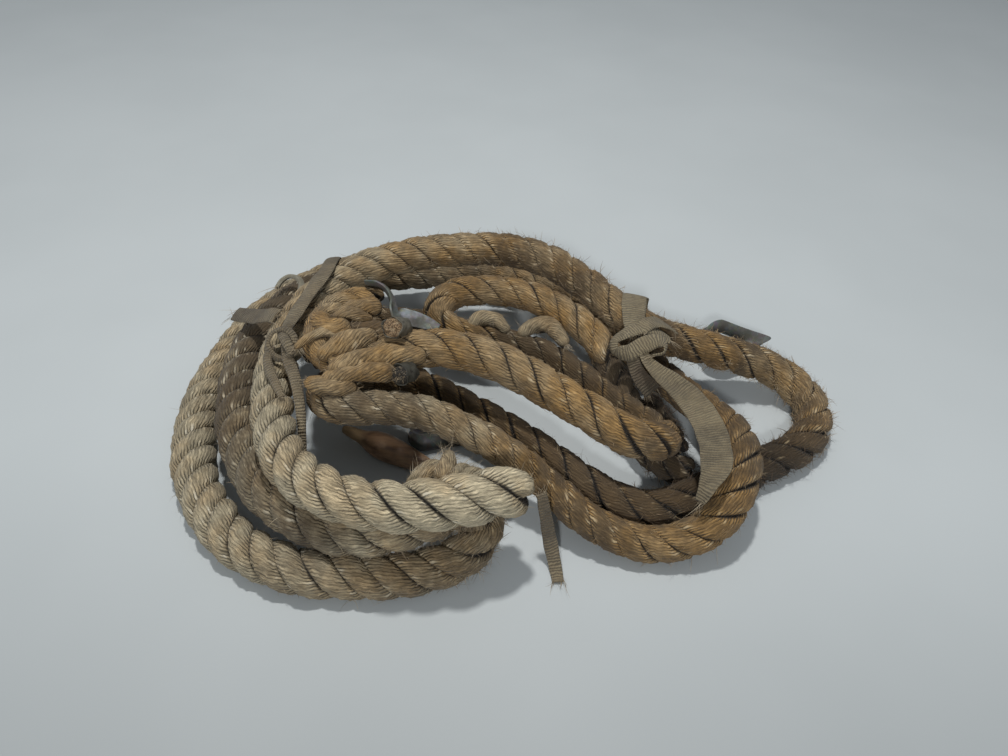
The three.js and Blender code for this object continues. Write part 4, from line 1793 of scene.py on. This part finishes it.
class Heap:
    """The whole heap, built in order."""

    def __init__(self) -> None:
        """Makes the two finishes that many pieces share."""
        self.strands = RopeFinish("laid_strands").make()
        self.fibres = FibreFinish("loose_fibres").make()

    def dress(
        self, piece: bpy.types.Object, finish: bpy.types.Material, slot: Slot, *nodes: str,
    ) -> bpy.types.Object:
        """Gives a piece its finish, hangs it under the root and hides the solids it stands for.

        Args:
            piece: the piece.
            finish: its material.
            slot: not used.
            *nodes: the solids it replaces.

        Returns:
            The piece.
        """
        piece.data.materials.clear()
        piece.data.materials.append(finish)
        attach(piece, "root")
        if nodes:
            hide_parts(*nodes)
        LOG.info("%s: %d faces", piece.name, len(piece.data.polygons))
        return piece

    def laid(
        self, rope: LaidRope, slot: Slot, count: int, fuzz: str, *nodes: str,
    ) -> list[bpy.types.Object]:
        """Makes a rope and its fuzz.

        Args:
            rope: the rope.
            slot: the material slot, handed on to dress.
            count: how many fibres its fuzz has.
            fuzz: the fuzz's name.
            *nodes: the solids that the rope replaces.

        Returns:
            The rope and the fuzz.
        """
        strands = self.dress(rope.build(), self.strands, slot, *nodes)
        return [strands, self.dress(rope.fuzz(fuzz, count), self.fibres, slot)]

    def ropes(self) -> None:
        """Lays the short rope's eye, the loose strands, the inner turns and then the two ropes."""
        eye = LaidRope("short_rope_eye_strands", EYE_ROUTE, EYE_STATIONS)
        with_short = [
            *self.laid(eye, Slot.TAN_ROPE, 1400, "short_rope_eye_fuzz"),
            *self.bundle("splice", SPLICE_STRANDS, Slot.TAN_ROPE, 110, 0.003),
            *self.bundle("worn", WORN_STRANDS, Slot.TAN_ROPE, 220, 0.005),
        ]
        with_long = self.bundle("frayed", FRAYED_STRANDS, Slot.ROPE, 280, 0.006)
        for name, points, along in INNER_TURNS:
            with_long += self.laid(LaidRope(name, points, along), Slot.ROPE, 900, f"{name}_fuzz")
        for node, slot, lay, points, along, count, parts in (
            ("long_rope", Slot.ROPE, "coiled", LONG_ROUTE, LONG_STATIONS, 26000, with_long),
            ("short_rope", Slot.TAN_ROPE, "loose", SHORT_ROUTE, SHORT_STATIONS, 5200, with_short),
        ):
            rope = LaidRope(f"{node}_strands", points, along)
            body, loose = self.laid(rope, slot, count, f"{node}_strands_fuzz", node)

    def bundle(
        self, name: str, strands: list[LooseStrand], slot: Slot, count: int, reach: float,
    ) -> list[bpy.types.Object]:
        """Makes some loose strands and the frayed fibres at their ends.

        Args:
            name: the start of the name of the fibres' piece.
            strands: the strands.
            slot: the material slot, handed on to dress.
            count: how many fibres each has.
            reach: the fibres' usual length, in metres.

        Returns:
            The pieces.
        """
        patch = FibrePatch()
        pieces = []
        for strand in strands:
            pieces.append(self.dress(strand.build(), self.strands, slot))
            strand.tufts(patch, count, reach)
        rng = np.random.default_rng(SEED + len(strands))
        return [*pieces, self.dress(patch.mesh(f"{name}_tufts", rng), self.fibres, slot)]

    def metal(self) -> None:
        """Makes the three thimbles."""
        steel = SteelFinish("galvanised_steel").make()
        for thimble in (
            Thimble("loop_gutter", "loop_thimble", 18, 54, 22, (35, 0, 10), (238, 86, 29)),
            Thimble("low_gutter", "low_thimble", 13, 38, 24, (0, 0, -10), (-72, -57, 13)),
        ):
            self.dress(thimble.build(), steel, Slot.STEEL, thimble.node)
        gutter = OpenGutter(
            "eye_gutter",
            [
                (-138, 24, 126), (-124, 20, 127), (-115, 12, 124), (-110, 2, 120),
                (-107, -8, 116), (-99, -10, 114), (-82, -11, 111), (-64, -16, 108),
            ],
            [
                (0.1, 0.6, 0.7), (0.3, 0.5, 0.6), (0.6, 0.4, 0.4), (0.7, 0.3, 0.3),
                (0.7, 0.1, 0.4), (0.3, -0.2, 0.9), (0, -0.3, 1), (0, -0.3, 1),
            ],
            [10, 14, 15, 15, 17, 20, 18, 14, 8],
            [3.0, 3.5, 3.5, 3.0, 2.0, 1.0, -0.8, -1.0],
        )
        self.dress(gutter.build(), steel, Slot.STEEL, "eye_thimble")

    def bound_ends(self) -> None:
        """Makes the two bound strand ends of the eye splice."""
        ends = (
            ("strand_end_upper", (-101, -54, 136), (-93, -37, 124), 9.4),
            ("strand_end_lower", (-90, -94, 117), (-81, -78, 108), 8.8),
        )
        finishes = (
            (BindingFinish("old_tape"), CutFinish("cut_fibres")),
            (
                BindingFinish("dark_tape", (0.035, 0.033, 0.026), (0.07, 0.066, 0.05)),
                CutFinish("dark_fibres", (0.07, 0.06, 0.045), (0.02, 0.017, 0.013)),
            ),
        )
        for (node, face, back, radius), (tape, cut) in zip(ends, finishes):
            end = BoundEnd(f"{node}_tape", face, back, radius)
            self.dress(end.tape(), tape.make(), Slot.BINDING, node)
            self.dress(end.core(f"{node}_core"), cut.make(), Slot.TAN_ROPE)
            self.dress(end.threads(f"{node}_threads", 90), self.fibres, Slot.TAN_ROPE)

    def wood(self) -> None:
        """Makes the toggle."""
        outline = [
            (0, 0), (4, 0), (5.5, 8), (7, 24), (11.5, 32), (13.4, 42),
            (13.4, 52), (12, 64), (9.8, 78), (8, 92), (6, 100), (0, 103),
        ]
        toggle = Toggle("turned_toggle", outline, (0, 3.4, -23), (-153, -67, 17))
        self.dress(toggle.build(), WoodFinish("dark_wood").make(), Slot.WOOD, "toggle")

    def strap(self, webbing: Webbing, finish: bpy.types.Material, slot: Slot = Slot.WEBBING) -> None:
        """Args:
            webbing: the strap.
            finish: its material.
            slot: the material slot, handed on to dress.
        """
        nodes = [webbing.node] if webbing.node else []
        piece = self.dress(webbing.build(), finish, slot, *nodes)
        threads = webbing.ends(f"{webbing.name}_threads", STRAP_THREADS, THREAD_REACH)
        ends = self.dress(threads, self.fibres, slot)

    def right_tie(self) -> None:
        """Ties the wide webbing on the right: band, knot, second strap, long tail and short tail."""
        webbing = WebbingFinish("grey_webbing").make()
        brown = WebbingFinish("brown_webbing", (0.12, 0.08, 0.05), (0.04, 0.03, 0.02)).make()
        self.strap(Webbing(
            "right_band",
            [
                (137, 76, 62), (136, 79, 76), (134, 78, 90), (129, 66, 100), (126, 46, 102),
                (125, 26, 99), (126, 8, 97),
            ],
            [
                (0.5, 0.8, -0.1), (0.4, 0.8, 0.1), (0.2, 0.7, 0.6), (0.0, 0.2, 1.0), (0.0, -0.1, 1.0),
                (0.0, -0.2, 1.0), (0.0, -0.2, 1.0),
            ],
            [24, 25, 25.5, 25, 24, 22, 20], cup=0.8, crumple=0.8, node="right_tie_band",
        ), webbing)
        self.strap(Webbing(
            "right_knot",
            [
                (160, 14, 88), (148, 16, 97), (132, 14, 101), (116, 6, 100), (102, -4, 95),
                (104, -12, 88),
                (117, -14, 90), (132, -8, 97), (146, -4, 101), (153, -6, 97), (151, -12, 91),
                (141, -14, 88),
            ],
            [
                (0.3, 0.4, 0.9), (0.1, 0.2, 1.0), (0.0, 0.1, 1.0), (-0.2, 0.1, 1.0), (-0.8, -0.1, 0.5),
                (-0.5, -0.7, -0.4),
                (0.0, -0.8, 0.6), (0.0, -0.5, 0.9), (0.2, -0.2, 1.0), (0.9, -0.2, 0.4),
                (0.5, -0.6, -0.6), (0.0, -0.6, -0.8),
            ],
            [20, 19, 18, 17, 15, 14, 15, 16, 17, 16, 14, 12],
            thick=2.4, cup=1.8, crumple=1.2, node="right_tie_knot",
        ), webbing)
        self.strap(Webbing(
            "right_over",
            [(128, 8, 101), (140, 20, 103), (154, 28, 97), (166, 31, 87)],
            [(-0.1, -0.2, 1.0), (0.1, 0.1, 1.0), (0.4, 0.3, 0.9), (0.7, 0.4, 0.5)],
            [14, 18, 22, 22], cup=1.0, crumple=1.0,
        ), webbing)
        self.strap(Webbing(
            "right_long_tail",
            [
                (131, -10, 90), (134, -17, 86), (144, -28, 82), (158, -41, 79), (173, -59, 77),
                (184, -88, 76), (187, -119, 76), (184, -142, 75), (177, -157, 70), (171, -166, 60),
            ],
            [
                (0.2, -0.5, 0.9), (0.2, -0.4, 1.0), (0.1, -0.4, 0.9), (0.0, -0.3, 0.9),
                (-0.1, -0.3, 1.0),
                (-0.1, -0.2, 1.0), (-0.1, -0.2, 1.0), (-0.4, -0.2, 0.9), (-0.8, -0.2, 0.6),
                (-0.9, -0.2, 0.2),
            ],
            [9, 14, 21, 26, 28, 28.5, 28.5, 27, 22, 13],
            cup=-1.5, crumple=1.0, node="right_tie_tail", held="hung",
        ), webbing)
        self.strap(Webbing(
            "right_short_tail",
            [(121, -12, 88), (125, -18, 79), (133, -27, 69), (144, -34, 60)],
            [(0.0, -0.6, 0.8), (-0.5, -0.5, 0.8), (-0.5, -0.4, 0.8), (-0.5, -0.4, 0.8)],
            [10, 14, 17, 17], cup=-1.0, crumple=1.2, node="right_tie_stub",
        ), brown, Slot.BROWN_WEBBING)

    def left_tie(self) -> None:
        """Ties the narrow webbing on the left, and hangs the tail of the front turns."""
        webbing = WebbingFinish("soiled_webbing", (0.265, 0.20, 0.118), (0.06, 0.045, 0.03)).make()
        pale = WebbingFinish("pale_cord", (0.46, 0.43, 0.33), (0.2, 0.17, 0.12), 0.0016).make()
        self.strap(Webbing(
            "left_band",
            [
                (-178, 98, 86), (-183, 103, 95), (-187, 99, 102), (-189, 69, 107),
                (-194, 38, 108), (-200, 10, 107), (-204, -14, 106), (-204, -36, 108),
            ],
            [
                (0.6, 0.4, 0.7), (0.5, 0.6, 0.7), (-0.2, 0.4, 0.9), (-0.2, 0.0, 1.0),
                (-0.2, 0.0, 1.0), (-0.2, 0.0, 1.0), (-0.2, 0.0, 1.0), (-0.1, -0.1, 1.0),
            ],
            [15, 16, 17, 18, 17, 16, 14, 9], cup=0.8, crumple=1.1, node="left_tie_band",
        ), webbing)
        self.strap(Webbing(
            "left_flat_tail",
            [(-222, -4, 101), (-228, 0, 99), (-240, 8, 90), (-258, 21, 79), (-278, 33, 71)],
            [
                (-0.4, -0.2, 0.9), (-0.5, -0.2, 0.8), (-0.5, -0.2, 0.8), (-0.4, -0.2, 0.9),
                (-0.3, -0.2, 0.9),
            ],
            [16, 17, 18, 18, 16], cup=0.8, crumple=1.2, node="left_tie_flat_tail", held="laid",
        ), webbing)
        self.strap(Webbing(
            "left_knot",
            [
                (-204, -34, 110), (-203, -46, 116), (-196, -58, 117), (-190, -66, 110),
                (-196, -68, 103), (-208, -66, 104),
                (-215, -58, 110), (-212, -47, 116), (-202, -43, 119), (-192, -47, 116),
                (-188, -55, 110),
            ],
            [
                (0.0, -0.2, 1.0), (0.0, -0.2, 1.0), (0.3, -0.4, 0.9), (0.7, -0.6, 0.2),
                (0.0, -0.9, -0.3), (-0.4, -0.8, 0.2),
                (-0.9, 0.0, 0.5), (-0.4, 0.4, 0.9), (0.0, 0.3, 1.0), (0.6, 0.3, 0.8), (0.9, 0.0, 0.4),
            ],
            [9, 9, 9, 8.5, 8, 8.5, 9, 9.5, 10, 9, 8],
            thick=2.8, cup=1.6, crumple=0.8, node="left_tie_knot",
        ), webbing)
        self.strap(Webbing(
            "left_hanging_tail",
            [
                (-197, -58, 112), (-193, -69, 105), (-183, -88, 100), (-175, -109, 89),
                (-170, -129, 70), (-167, -146, 50),
            ],
            [
                (0.2, -0.6, 0.8), (0.3, -0.7, 0.6), (0.3, -0.6, 0.7), (0.4, -0.8, 0.5),
                (0.6, -0.7, 0.4), (0.8, -0.6, 0.3),
            ],
            [9, 10.5, 10, 9, 7.5, 6.5, 6],
            thick=2.2, cup=1.6, crumple=0.9, node="left_tie_tail", held="hung",
        ), webbing)
        self.strap(Webbing(
            "left_loop",
            [(-212, -56, 107), (-213, -68, 105), (-207, -82, 102), (-197, -98, 100), (-190, -109, 97)],
            [
                (-0.5, -0.4, 0.8), (-0.4, -0.4, 0.9), (-0.2, -0.4, 0.9), (0.0, -0.4, 0.9),
                (0.0, -0.5, 0.8),
            ],
            [8, 8.5, 9, 8, 5.5], thick=2.2, cup=1.8, crumple=0.8, node="left_tie_loop",
        ), webbing)
        self.strap(Webbing(
            "left_curl",
            [
                (-247, 79, 73), (-244, 87, 76), (-237, 92, 79), (-228, 90, 80),
                (-221, 81, 80), (-218, 68, 79), (-219, 54, 78),
            ],
            [
                (-0.9, 0.0, 0.4), (-0.6, 0.5, 0.6), (-0.2, 0.6, 0.8), (0.3, 0.6, 0.8),
                (0.6, 0.2, 0.8), (0.6, 0.0, 0.8), (0.4, 0.0, 0.9),
            ],
            [5.5, 6.5, 7, 7, 7, 7, 6.5], thick=4.2, cup=0.6, crumple=0.4, node="left_tie_curl",
        ), pale)
        self.strap(Webbing(
            "front_hanging_tail",
            [
                (37, -172, 66), (39, -176, 58), (43, -181, 42), (48, -188, 21), (53, -198, 6),
                (55, -206, 2.5), (56, -214, 2.5),
            ],
            [
                (0.2, -0.9, 0.4), (0.2, -1.0, 0.2), (0.3, -1.0, 0.3), (0.2, -1.0, 0.4),
                (0.1, -0.7, 0.7), (0.0, -0.3, 1.0), (0.0, -0.1, 1.0),
            ],
            [9, 10.5, 12, 12.5, 12, 10],
            thick=2.2, cup=1.0, crumple=1.2, node="hanging_tail", held="hung",
        ), webbing)


def main() -> None:
    """Builds the studio and the heap."""
    logging.basicConfig(level=logging.INFO, format="%(relativeCreated)d %(message)s")
    Studio().build()
    heap = Heap()
    heap.ropes()
    heap.metal()
    heap.bound_ends()
    heap.wood()
    heap.right_tie()
    heap.left_tie()


if __name__ == "__main__":
    main()
